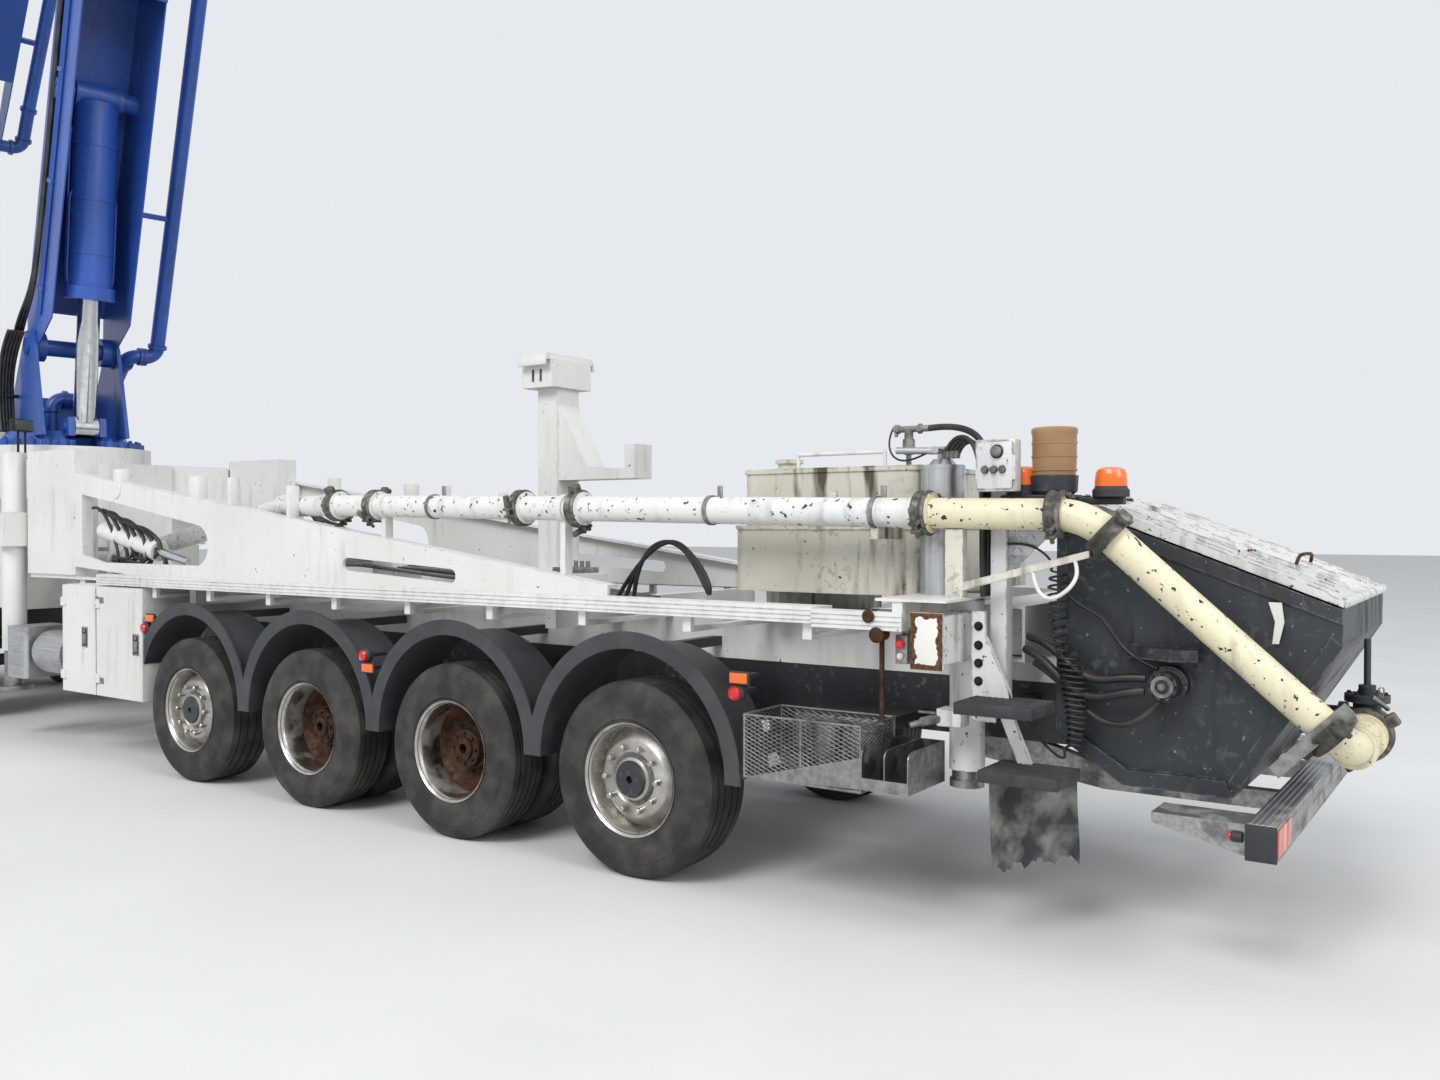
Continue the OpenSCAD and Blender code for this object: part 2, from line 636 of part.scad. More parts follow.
// The left beam runs in the front housing, the right beam in the one behind it
rear_left_x = -rear_box_x;
rear_right_x = -rear_box_x - rear_box_w;
module subframe() {
    color("whitesmoke") on_truck() union() {
        both_sides() {
            side_beam();
            block([5900, 6020], [beam_half - beam_flange, beam_half - 1], [1500, 2250]);
            block([-1500, 7400], [330, 430], [rail_top, 1330]);
            block([4100, 6020], [430, beam_half - 1], [1395, 1415]);
        }
        difference() {
            union() {
                turret_base();
                curve_housing(housing_z[0]);
                mirror([0, 1, 0]) curve_housing(housing_z[1]);
                block([6900, 7600], [-300, 300], [1300, housing_z[1] + housing_h]);
                block([6000, shoulder_x], [-beam_half + beam_t, beam_half - beam_t], [1395, 1430]);
                both_sides() shoulder();
            }
            beam_path(true);
            mirror([0, 1, 0]) beam_path(false);
        }
        collar(housing_z[0]);
        mirror([0, 1, 0]) collar(housing_z[1]);
        for (x = [700, 2600, 4300, 5900])
            block([x, x + 80], [-beam_half + beam_t, beam_half - beam_t], [1250, 1396]);
        boom_rest();
        for (x = saddles) saddle(x);
        rear_box(-rear_box_y, rear_box_y, rear_left_x);
        mirror([0, 1, 0]) rear_box(-rear_box_y, rear_box_y, rear_right_x);
        both_sides() block([rail_end + 40, -1500], [330, 430], [rail_top, rear_box_z[0] + 1]);
    }
}

// Deck rails and platforms along both sides
deck_arms = [-1080 : 700 : 5200];
rib_pitch = 22;
// Plate behind the tank: its top face and its thickness
console = [1509, 12];
// Rail along the side with three grooves
module ribbed_rail(x, z) {
    difference() {
        block(x, [half_w - 80, half_w], z);
        for (i = [1 : 3]) block([x[0] - 1, x[1] + 1], [half_w - 5, half_w + 1],
            [z[1] - rib_pitch * i - 3, z[1] - rib_pitch * i + 3]);
    }
}
module deck() {
    color("gainsboro") on_truck() {
        both_sides() {
            ribbed_rail([-1100, 5300], [deck_z - deck_rail_h, deck_z]);
            block([-1100, 5300], [beam_half + run_gap, half_w - 79], [deck_z - 22, deck_z - 6]);
            for (x = deck_arms) {
                block([x, x + 50], [430 + run_gap, half_w - 40], [1300, 1325]);
                block([x, x + 50], [half_w - 70, half_w - 40], [1324, deck_z - deck_rail_h + 1]);
            }
            ribbed_rail([-1560, -1099], [deck_z - 95, deck_z - 12]);
        }
        // Console of the vessel and the post, on the left
        block([-1765, tank_x[0] - 15], [630, half_w - 10], [console[0] - console[1], console[0]]);
        block([-1555, -1505], [half_w - 60, half_w - 20], [deck_z - 13, console[0] - console[1] + 1]);
    }
}

// Fenders over the four rear axles
fender_z = 585;
fender_in = 612;
fender_out = 702;
fender_t = 12;
module fender_arc(ri, ro, y0, y1) {
    intersection() {
        rotate([90, 0, 0]) translate([0, 0, -y1]) difference() {
            cylinder(r = ro, h = y1 - y0, $fn = 72);
            translate([0, 0, -1]) cylinder(r = ri, h = y1 - y0 + 2, $fn = 72);
        }
        block([-ro - 1, ro + 1], [y0 - 1, y1 + 1], [-15, ro + 1]);
    }
}
// Front arches: inner and outer radius of the sheet
front_arch = [638, 650];
module fenders() {
    color("darkslategray") on_truck() both_sides() for (x = [axle_1_x, axle_2_x]) {
        translate([x, 0, fender_z]) fender_arc(front_arch[0], front_arch[1], half_w - 385, half_w);
        // Arm from the turret's base, or from the frame rail
        block([x - 30, x + 30], [x > cab_back ? rail_half - 45 : 850 + run_gap, half_w - 370],
            [1150, fender_z + front_arch[0] + 6]);
        if (x > cab_back) block([x - 30, x + 30], [rail_half - 45, rail_half], [rail_top + run_gap, 1151]);
    }
    color("darkslategray") on_truck() both_sides() for (x = rear_axles) {
        intersection() {
            translate([x, 0, fender_z]) {
                fender_arc(fender_in, fender_in + fender_t, half_w - 385, half_w);
                fender_arc(fender_in, fender_out, half_w - fender_t, half_w);
            }
            block([x - 800, min(x + 800, locker_x[0] - 20)], [0, half_w + 1], [500, 1300]);
        }
        // Arm from the subframe
        block([x - 30, x + 30], [430 + run_gap, half_w - 370], [1150, fender_z + fender_in + 6]);
    }
}

// Locker with two doors on the left, tank on the right
locker_x = [4640, 5820];
locker_z = [520, 1370];
locker_t = 15;
locker_in = 760;
locker_split = 5300;
module locker() {
    color("whitesmoke") on_truck() {
        difference() {
            block(locker_x, [locker_in, half_w - 22 - run_gap], locker_z);
            block([locker_x[0] + locker_t, locker_x[1] - locker_t], [locker_in + locker_t, half_w],
                [locker_z[0] + locker_t, locker_z[1] - locker_t]);
        }
        for (x = [4900, 5500])
            block([x, x + 80], [rail_half + run_gap, locker_in + 1], [900, 1060]);
    }
}
// Hinges at a leaf's front edge: heights, and how far they stand out
leaf_hinge_z = [620, 1200];
leaf_hinge_y = half_w + 10;
module locker_leaf(x) {
    block(x, [half_w - 22, half_w], [locker_z[0] + 3, locker_z[1] - 3]);
    for (z = leaf_hinge_z) {
        translate([x[1], leaf_hinge_y, z]) cylinder(r = 6, h = 70);
        block([x[1] - 60, x[1]], [half_w - 1, leaf_hinge_y + 2], [z, z + 70]);
    }
}
module locker_door_front() {
    color("whitesmoke") on_truck() locker_leaf([locker_split + 12, locker_x[1]]);
}
module locker_door_rear() {
    color("whitesmoke") on_truck() locker_leaf([locker_x[0], locker_split - 3]);
}
// Cylindrical tank ahead of the locker: its ends, place across, height and radius
air_tank = [5960, 6420, 1030, 780, 180];
module side_tanks() {
    color("silver") on_truck() {
        bar([air_tank[0], air_tank[2], air_tank[3]], [air_tank[1], air_tank[2], air_tank[3]], air_tank[4]);
        block([air_tank[1] - 60, air_tank[1] - 20], [rail_half + run_gap, air_tank[2]], [820, 880]);
        block([air_tank[1] - 70, 6790], [rail_half + run_gap, 900], [900, 960]);
        round_box([6480, 6800], [870, half_w - 10], [560, 990], 40);
        block([4640, 5900], [-half_w + 20, -locker_in], [520, 1170]);
        for (x = [4900, 5500])
            block([x, x + 80], [-locker_in - 1, -rail_half - run_gap], [900, 1060]);
    }
}

// Water tank, valve block and its post
tank_x = [-1410, -380];
tank_half = 750;
tank_corner = 70;
module water_tank() {
    color("whitesmoke") on_truck() {
        round_box(tank_x, [-tank_half, tank_half], [deck_z + 30, 2130], tank_corner);
        // Wider skirt and two pressed ribs round the tank
        round_box([tank_x[0], tank_x[1] + 60], [-tank_half, tank_half], [deck_z + 30, 1830], tank_corner);
        for (z = [1815, 2105]) round_box([tank_x[0] - 8, tank_x[1] + (z < 2000 ? 68 : 8)],
            [-tank_half - 8, tank_half + 8], [z, z + 20], tank_corner);
        // Filler with its lid
        translate([-560, 560, 2129]) cylinder(r = 60, h = 45);
        translate([-560, 560, 2165]) cylinder(r = 75, h = 20);
        block([-700, -420], [-450, -150], [2129, 2165]);
        for (x = [tank_x[0] + 60, tank_x[1] - 140])
            block([x, x + 80], [-600, 600], [1330, deck_z + 31]);
        block([-1320, -1280], [tank_half - 1, pipe_y + 20], [1770, deck_pipe_z(-1300) - pipe_r - 1]);
        // Post of the delivery line and its brace
        block([-1745, -1660], [960, 1010], [console[0] + run_gap, deck_pipe_z(-1700) - pipe_r - 1]);
        slab([[-1700, 1530], [-1700, 1568], [-2312, 1728], [-2312, 1698]], 990, 1012);
    }
}
// Upright vessel behind the tank: place, radius, top
vessel_at = [-1540, 770];
vessel_r = 106;
vessel_top = 2120;
module vessel() {
    color("silver") on_truck() translate([vessel_at[0], vessel_at[1], 0]) {
        low = console[0] + run_gap;
        translate([0, 0, low]) cylinder(r = vessel_r - 3, h = vessel_top - low);
        for (z = [low, 1790, vessel_top - 18]) translate([0, 0, z]) cylinder(r = vessel_r, h = 16);
        translate([0, 0, vessel_top - 1]) cylinder(r1 = 70, r2 = 45, h = 30);
        translate([0, 0, vessel_top + 28]) cylinder(r = 24, h = 60);
        bar([0, 0, vessel_top + 68], [-10, 110, vessel_top + 68], 17);
        bar([0, 0, vessel_top + 68], [240, 0, vessel_top + 78], 17);
    }
}

// Delivery line: along the left side, then down past the hopper to its outlet
pipe_y = 985;
deck_pipe_x = [-2290, 2750];
function deck_pipe_z(x) = 1890 + (x + 1640) * 80 / (2750 + 1640);
coupling_r = pipe_r + 24;
module coupling(x) {
    translate([x - 40, pipe_y, deck_pipe_z(x)]) rotate([0, 90, 0]) cylinder(r = coupling_r, h = 80);
}
outlet_z = 950;
module deck_pipe() {
    color("ivory") on_truck() {
        pipe_run([[7350 - run_gap, 560, 1540], [6300, 560, 1540], [3500, 820, deck_pipe_z(2750)],
            [deck_pipe_x[1], pipe_y, deck_pipe_z(2750)],
            [deck_pipe_x[0], pipe_y, deck_pipe_z(deck_pipe_x[0])],
            [-rear_reach + coupling_r, 770, outlet_z], [-rear_reach + coupling_r, 331, outlet_z]], pipe_r);
        translate([-rear_reach + coupling_r, 330, outlet_z]) rotate([-90, 0, 0])
            cylinder(r = coupling_r, h = 90);
        for (x = [-1550, 560, 1000, 2300, 2700]) coupling(x);
    }
}

// Pump unit between the turret and the hopper: cylinders and oil tank
pump_z = 950;
pump_r = 110;
pump_low = pump_z - pump_r;
pump_x = [900, 1400];
module pump_unit() {
    color("gray") on_truck() {
        for (y = [-200, 200]) bar([-hopper_front + run_gap, y, pump_z], [pump_x[0] + 1, y, pump_z], pump_r);
        block(pump_x, [-320, 320], [820, 1070]);
        block([pump_x[0] + 100, pump_x[0] + 200],
            [-rail_half + rail_t + run_gap, rail_half - rail_t - run_gap],
            [850, 1000]);
    }
}

// Hopper
hopper_z = [700, 1980];
hopper_side = [[-hopper_front, hopper_z[0] + 200], [-hopper_front - 300, hopper_z[0]],
    [-hopper_front - 750, hopper_z[0]], [-hopper_back, 1350], [-hopper_back, 1500],
    [-hopper_front - 60, hopper_z[1] - 60], [-hopper_front, hopper_z[1] - 60]];
hopper_hole = [[-hopper_front - hopper_t, hopper_z[0] + 210], [-hopper_front - 310, hopper_z[0] + 20],
    [-hopper_front - 740, hopper_z[0] + 20], [-hopper_back + hopper_t, 1360],
    [-hopper_back + hopper_t, 1600], [-hopper_front - 60, 2100], [-hopper_front - hopper_t, 2100]];
module hopper() {
    color("darkslategray") on_truck() difference() {
        slab(hopper_side, -hopper_half, hopper_half);
        slab(hopper_hole, -hopper_half + hopper_t, hopper_half - hopper_t);
        cross_bar(agitator_x, agitator_z, agitator_r + run_gap, -hopper_half - 1, hopper_half + 1);
    }
    color("darkslategray") on_truck() {
        // Motor of the agitator over the shaft's left end, bearing cap on the right
        difference() {
            union() {
                cross_bar(agitator_x, agitator_z, 78, hopper_half - 1, hopper_half + 70);
                cross_bar(agitator_x, agitator_z, 58, hopper_half + 69, hopper_half + 165);
                cross_bar(agitator_x, agitator_z, 78, -hopper_half - 90, -hopper_half + 1);
            }
            cross_bar(agitator_x, agitator_z, agitator_r + run_gap, -hopper_half - 66, hopper_half + 66);
        }
        // Shelf above the motor
        translate([0, 0, 1262]) linear_extrude(50) polygon([[-2410, hopper_half - 1],
            [-2700, hopper_half - 1], [-2700, 800], [-2600, 850], [-2410, 770]]);
        // Outlet of the concrete valve, to the delivery line
        pipe_run([[-2975, 0, outlet_z], [-rear_reach + coupling_r, 0, outlet_z],
            [-rear_reach + coupling_r, 330 - run_gap, outlet_z]], pipe_r);
        translate([-rear_reach + coupling_r, 150, outlet_z]) rotate([-90, 0, 0])
            cylinder(r = coupling_r - 1, h = 179);
        translate([-rear_reach + coupling_r, 240, outlet_z]) {
            cylinder(r = 55, h = 130);
            translate([0, 0, 129]) cylinder(r = 88, h = 32);
            translate([0, 0, 160]) cylinder(r = 34, h = 40);
            translate([0, 0, 199]) cylinder(r = 14, h = 200);
        }
    }
    color("darkslategray") on_truck() both_sides() {
        // Rim, corner rib and foot plate of each side wall
        slab([[-hopper_back, 1440], [-hopper_back, 1500], [-hopper_front - 60, hopper_z[1] - 60],
            [-hopper_front - 60, hopper_z[1] - 130]], hopper_half - 1, hopper_half + 14);
        slab([[-hopper_front, 900], [-hopper_front, 1800], [-hopper_front - 45, 1800],
            [-hopper_front - 45, 900]], hopper_half - 1, hopper_half + 14);
        slab([[-2830, 700], [-3230, 1350], [-3190, 1390], [-2770, 700]], hopper_half - 1, hopper_half + 10);
        slab([[-hopper_front - 20, 880], [-hopper_front - 300, 700], [-hopper_front - 750, 700],
            [-hopper_front - 720, 770], [-hopper_front - 320, 770], [-hopper_front - 20, 960]],
            hopper_half - 1, hopper_half + 30);
        cross_bar(-lid_pin[0], lid_pin[1], lid_pin[2], 285, 415);
        for (y = [285, 400]) block([-lid_pin[0] - 20, -lid_pin[0] + 20], [y, y + 15],
            [hopper_z[1] - 61, lid_pin[1] + 17]);
    }
}
// Lid pin: behind the last axle, height, radius
lid_pin = [2110, 1958, 12];
lid_t = 30;
lid_ribs = [-480, -160, 160, 480];
module lid_rib(y0, y1, h) {
    slab([[-hopper_front - 90, hopper_z[1] - 64 + lid_t], [-hopper_back + 40, 1522 + lid_t],
        [-hopper_back + 60, 1528 + lid_t + h], [-hopper_front - 110, hopper_z[1] - 70 + lid_t + h]], y0, y1);
}
module hopper_lid() {
    color("whitesmoke") on_truck() {
        slab([[-hopper_front - 62, hopper_z[1] - 60 + 8], [-hopper_back, 1508],
            [-hopper_back, 1508 + lid_t], [-hopper_front - 62, hopper_z[1] - 52 + lid_t]],
            -hopper_half, hopper_half);
        // Raised ribs, side edges and the round tail
        for (y = lid_ribs) lid_rib(y - 20, y + 20, 26);
        for (y = [-hopper_half, hopper_half - 14]) lid_rib(y, y + 14, 14);
        cross_bar(-hopper_back, 1508 + lid_t / 2, lid_t / 2 + 6, -hopper_half + 30, hopper_half - 30);
        both_sides() difference() {
            union() {
                cross_bar(-lid_pin[0], lid_pin[1], 2 * lid_pin[2], 302, 398);
                slab([[-lid_pin[0] + 10, lid_pin[1] - 13], [-lid_pin[0] + 10, lid_pin[1] + 17],
                    [-lid_pin[0] - 100, 1930], [-lid_pin[0] - 100, 1906]], 302, 398);
            }
            cross_bar(-lid_pin[0], lid_pin[1], lid_pin[2] + run_gap, 301, 399);
        }
    }
}
agitator_x = -2580;
agitator_z = 1160;
agitator_r = 40;
module agitator() {
    color("gray") on_truck() {
        cross_bar(agitator_x, agitator_z, agitator_r, -hopper_half - 60, hopper_half + 60);
        for (i = [-2 : 2]) translate([agitator_x, i * 240, agitator_z]) rotate([0, i * 72, 0])
            block([-25, 25], [-12, 12], [30, 300]);
    }
}
// Underride guard: front and rear face, low and high edge, half length
guard = [-2955, -3065, 560, 695, 1150];
module rear_guard() {
    color("dimgray") on_truck() {
        both_sides() slab([[-1500, rail_top - rail_h], [-1900, rail_top - rail_h], [-2300, 680],
            [guard[0] - 1, 680], [guard[0] - 1, 600], [-2200, 600], [-1500, 700]], 350, 420);
        difference() {
            block([guard[1], guard[0]], [-guard[4], guard[4]], [guard[2], guard[3]]);
            for (i = [1 : 4]) block([guard[1] + 22 * i - 4, guard[1] + 22 * i + 4],
                [-guard[4] - 1, guard[4] + 1], [guard[3] - 5, guard[3] + 1]);
        }
        // Wedge brackets ahead of its ends
        both_sides() slab([[guard[0] - 1, 690], [guard[0] - 1, 566], [-2600, 650], [-2600, 690]], 930, 1130);
    }
}
// Tool basket, tray with fins, steps and their bracket on the left, behind the last wheel
basket = [-1360, -720, 900, 620, 930];
basket_t = 4;
tray_x = [-1594, -1359];
tray_y = 860;
tray_z = [640, 830];
fin_t = 5;
fin_corner = 45;
step_w = 340;
step_slots = 5;
// Rear steps: front edge and top
rear_steps = [[-1810, 1070], [-1920, 790]];
module rear_step(x, z) {
    difference() {
        block([x - step_w, x], [960, half_w], [z - 40, z]);
        for (i = [0 : step_slots - 1]) block([x - step_w + 18 + i * 62, x - step_w + 66 + i * 62],
            [978, half_w - 18], [z - 41, z + 1]);
    }
}
module side_trays() {
    color("gray") on_truck() {
        difference() {
            block([basket[0], basket[1]], [basket[2], half_w], [basket[3], basket[4]]);
            block([basket[0] + basket_t, basket[1] - basket_t], [basket[2] + basket_t, half_w - basket_t],
                [basket[3] + basket_t, basket[4] + 1]);
        }
        block([-1300, -800], [rail_half + run_gap, basket[2] + 1], [840, 900]);
        block(tray_x, [tray_y, half_w], [tray_z[0], tray_z[0] + 6]);
        block(tray_x, [half_w - fin_t, half_w], [tray_z[0], tray_z[0] + 55]);
        block(tray_x, [tray_y, tray_y + fin_t], tray_z);
        for (x = [tray_x[0], (tray_x[0] + tray_x[1] - fin_t) / 2, tray_x[1] - fin_t])
            fin(x, x + fin_t, [tray_y, half_w], tray_z, fin_corner);
        for (s = rear_steps) rear_step(s[0], s[1]);
        block([-1900, -1830], [rail_half + run_gap, 1000], [rail_top - 120, rail_top - 60]);
        // Upright plate with its gusset, and the lower step's strut
        block([-1850, -1784], [985, 1000], [961, 1452]);
        slab([[-1849, 1340], [-1849, 1029], [-1975, 1029], [-1955, 1110]], 970, 1000);
        slab([[-1900, 1031], [-1960, 1031], [-2060, 789], [-2000, 789]], 970, 1000);
        slab([[-1830, 1031], [-1900, 1031], [-1900, 960], [-1830, 960]], 970, 1000);
        // Bar of the right flap, on an arm from the frame
        mirror([0, 1, 0]) {
            translate([flap_at[0], flap_at[1], rear_steps[1][1] - 40]) rotate([0, 0, -90 - flap_turn])
                cube([flap_w, 30, 40]);
            block([-2075, -2015], [rail_half + run_gap, 1060], [rear_steps[1][1] - 1, 850]);
        }
    }
}
// Rubber flaps under the lower step, set at an angle
flap_at = [-1950, 1190];
flap_w = 470;
flap_t = 12;
flap_low = 340;
flap_turn = 31;
module mudflaps() {
    color("black") on_truck() both_sides() translate([flap_at[0], flap_at[1], flap_low])
        rotate([0, 0, -90 - flap_turn])
            cube([flap_w, flap_t, rear_steps[1][1] - 40 - run_gap - flap_low]);
}

// Front beams, curved, with the tube of their leg, and rear beams, straight
beam_gap = 8;
tube_bore_r = leg_r - 15;
front_tube_z = [760, 2470];
rear_tube_z = [700, 1490];
rear_foot_r = 80;
rear_foot_z = 620;
rear_leg_y = 800;
module front_beam(left) {
    z = housing_z[left ? 0 : 1];
    inset = housing_t + beam_gap;
    difference() {
        union() {
            curve_section(housing_w - 2 * inset, z + inset, z + housing_h - inset, 0, 45);
            translate([front_leg_x, leg_y, front_tube_z[0]])
                cylinder(r = leg_r, h = front_tube_z[1] - front_tube_z[0]);
            // Head that holds the tube at the beam's end
            block([front_leg_x - 150, front_leg_x + 150], [leg_y - 60, half_w - 20],
                [z + inset, z + housing_h - inset]);
        }
        translate([front_leg_x, leg_y, front_tube_z[0] - 1])
            cylinder(r = tube_bore_r, h = front_tube_z[1] - front_tube_z[0] - 19);
    }
}
module leg(y, x) {
    translate([x, y, foot_clear]) cylinder(r = foot_r, h = 35);
    translate([x, y, foot_clear + 34]) cylinder(r = tube_bore_r - run_gap, h = 1020);
}
module rear_beam(x) {
    inset = rear_box_t + beam_gap;
    difference() {
        union() {
            block([x - rear_box_w / 2 + inset, x + rear_box_w / 2 - inset],
                [-600, half_w - 12], [rear_box_z[0] + inset, rear_box_z[1] - inset]);
            block([x - rear_box_w / 2 + 4, x + rear_box_w / 2 - 4], [half_w - 13, half_w],
                [rear_box_z[0] + 4, rear_box_z[1] - clear]);
            translate([x, rear_leg_y, rear_tube_z[0]])
                cylinder(r = leg_r - 13, h = rear_tube_z[1] - rear_tube_z[0]);
        }
        translate([x, rear_leg_y, rear_tube_z[0] - 1])
            cylinder(r = rear_bore_r, h = rear_tube_z[1] - rear_tube_z[0] - 19);
    }
}
rear_bore_r = leg_r - 13 - 12;
module rear_leg_piece(x) {
    translate([x, rear_leg_y, rear_foot_z]) cylinder(r = rear_foot_r, h = 35);
    translate([x, rear_leg_y, rear_foot_z + 34]) cylinder(r = rear_bore_r - run_gap, h = 800);
}
module front_beam_left() { color("whitesmoke") on_truck() front_beam(true); }
module front_beam_right() { color("whitesmoke") on_truck() mirror([0, 1, 0]) front_beam(false); }
module rear_beam_left() { color("whitesmoke") on_truck() rear_beam(rear_left_x); }
module rear_beam_right() { color("whitesmoke") on_truck() mirror([0, 1, 0]) rear_beam(rear_right_x); }
module front_leg_left() { color("silver") on_truck() leg(leg_y, front_leg_x); }
module front_leg_right() {
    color("silver") on_truck() mirror([0, 1, 0]) leg(leg_y, front_leg_x);
}
module rear_leg_left() { color("silver") on_truck() rear_leg_piece(rear_left_x); }
module rear_leg_right() { color("silver") on_truck() mirror([0, 1, 0]) rear_leg_piece(rear_right_x); }

// Turret: slewing flange, pedestal with the boom pivot and the rod's clevis
module boom_frame() {
    on_truck() translate([slew_x, 0, 0]) rotate([0, 0, 180 - slew_rest]) children();
}
cheek_y = arm_w[0] / 2 + clear;
cheek_t = 36;
pivot_r = 80;
flange_t = 60;
flange_bolts = 30;
foot_gap = 110;
foot_pin_r = 50;
eye_r = 105;
// How far the rod's eye may move towards the slewing axis
eye_room = 155;
// Faces of the pipe swivels at the boom's pivots
swivel_y = [650, 610, 0, -940];
module turret() {
    color("royalblue") boom_frame() union() {
        difference() {
            union() {
                translate([0, 0, slew_z + run_gap]) cylinder(r = slew_r - 40, h = flange_t, $fn = 96);
                for (i = [0 : flange_bolts - 1]) rotate([0, 0, 360 * (i + 0.5) / flange_bolts])
                    translate([slew_r - 46, 0, slew_z + run_gap]) cylinder(r = 46, h = flange_t);
                translate([0, 0, slew_z + flange_t])
                    cylinder(r1 = slew_r - 130, r2 = slew_r - 190, h = 152 - flange_t);
            }
            // Room for the rod's eye
            block([foot_x - eye_r - eye_room, slew_r + 20], [-foot_gap, foot_gap],
                [slew_z - 1, slew_z + 200]);
        }
        for (s = [-1, 1]) slab([[-600, slew_z + 100], [640, slew_z + 100], [pivot_x + 190, pivot_z],
            [pivot_x + 100, pivot_z + 150], [pivot_x - 100, pivot_z + 150], [pivot_x - 190, pivot_z]],
            s > 0 ? cheek_y : -cheek_y - cheek_t, s > 0 ? cheek_y + cheek_t : -cheek_y);
        block([-600, -540], [-cheek_y - 1, cheek_y + 1], [slew_z + 100, slew_z + 560]);
        for (y = [-foot_gap - 60, foot_gap]) slab([[foot_x - 150, slew_z + 100],
            [foot_x + 110, slew_z + 100], [foot_x + 90, foot_z + 90], [foot_x - 90, foot_z + 90]],
            y, y + 60);
        cross_bar(pivot_x, pivot_z, pivot_r, -cheek_y - cheek_t - 20, cheek_y + cheek_t + 20);
        // Heads of the rod's pin, on the clevis
        for (y = [-foot_gap - 80, foot_gap + 59]) cross_bar(foot_x, foot_z, foot_pin_r, y, y + 21);
        pipe_run([[-450, 0, slew_z + 120], [-450, 0, 3150], [-450, 520, 3150],
            [pivot_x, 520, pivot_z], [pivot_x, swivel_y[0] + 10, pivot_z]], pipe_r);
    }
}

// Boom sections, each drawn along +X from its own root pin at the origin.
// fold_z is where the next pin lies above the section's axis.
fold_z = [arm_top[0] + fold_gap + arm_top[1], 30, -(arm_top[2] + fold_gap + arm_top[3])];
lane = -(arm_w[0] / 2 + 50 + arm_w[2] / 2);
fork_l = [1000, 850, 700];
fork_over = 130;
pin_r = [60, 75, 45];
horn_r = [500, 380, 300];
horn_t = 40;
horn_root_r = 90;
horn_tip_r = 45;
// Frames of the four sections at rest
module arm_1_frame() {
    boom_frame() translate([pivot_x, 0, pivot_z]) rotate([0, -lift_rest, 0]) children();
}
module arm_2_frame() {
    arm_1_frame() translate([arm_l[0], 0, fold_z[0]]) rotate([0, fold_rest - 180, 0]) children();
}
module arm_3_frame() {
    arm_2_frame() translate([arm_l[1], 0, fold_z[1]]) rotate([0, -180, 0]) children();
}
module arm_4_frame() {
    arm_3_frame() translate([arm_l[2], 0, fold_z[2]]) rotate([0, 180, 0]) children();
}
// Outline of a section: side = 1 has its straight face up, -1 has it down
function arm_out(i, side, x0, x1, t) = [
    [x0, side * (arm_top[i] - t)], [x1, side * (arm_top[i] - t)],
    [x1, side * (arm_top[i] - arm_tip_h[i] + t)], [x0, side * (arm_top[i] - arm_root_h[i] + t)]];
module arm_box(i, side, x0, x1, y) {
    difference() {
        slab(arm_out(i, side, x0, x1, 0), y - arm_w[i] / 2, y + arm_w[i] / 2);
        slab(arm_out(i, side, x0 + arm_t, x1 + 1, arm_t),
            y - arm_w[i] / 2 + arm_t, y + arm_w[i] / 2 - arm_t);
    }
}
// Two cheeks that carry the next section's pin
module fork(i, side, y) {
    l = arm_l[i];
    z = fold_z[i];
    root = l - fork_l[i];
    up = side * arm_top[i];
    low = side * (arm_top[i] - arm_tip_h[i]);
    difference() {
        for (f = [y - arm_w[i] / 2, y + arm_w[i] / 2 - arm_t]) {
            slab([[root - 20, up], [root - 20, low], [root + 200, low],
                [l + fork_over / 2, z - side * 0.87 * fork_over],
                [l - fork_over / 2, z + side * 0.87 * fork_over], [root + 200, up]], f, f + arm_t);
            cross_bar(l, z, fork_over, f, f + arm_t);
        }
        cross_bar(l, z, pin_r[i] + run_gap, y - arm_w[i], y + arm_w[i]);
    }
}
// Lever behind a section's root pin, for the rod that folds it
module horn(r, y) {
    cross_bar(0, 0, horn_root_r, y - horn_t, y + horn_t);
    cross_bar(-r, 0, horn_tip_r, y - horn_t, y + horn_t);
    slab([[0, -horn_root_r], [0, horn_root_r], [-r, horn_tip_r], [-r, -horn_tip_r]],
        y - horn_t, y + horn_t);
}
// Solid root of a section, from its pin to the start of its box
module arm_root(i, side, r, y) {
    cross_bar(0, 0, r, y - arm_w[i] / 2, y + arm_w[i] / 2);
    slab([[0, -r], [0, r], [181, side > 0 ? arm_top[i] : arm_root_h[i] - arm_top[i]],
        [181, side > 0 ? arm_top[i] - arm_root_h[i] : -arm_top[i]]], y - arm_w[i] / 2, y + arm_w[i] / 2);
}
// Last clamp ring and free end of the line, for the end hose
hose_stub = [10215, 10433];
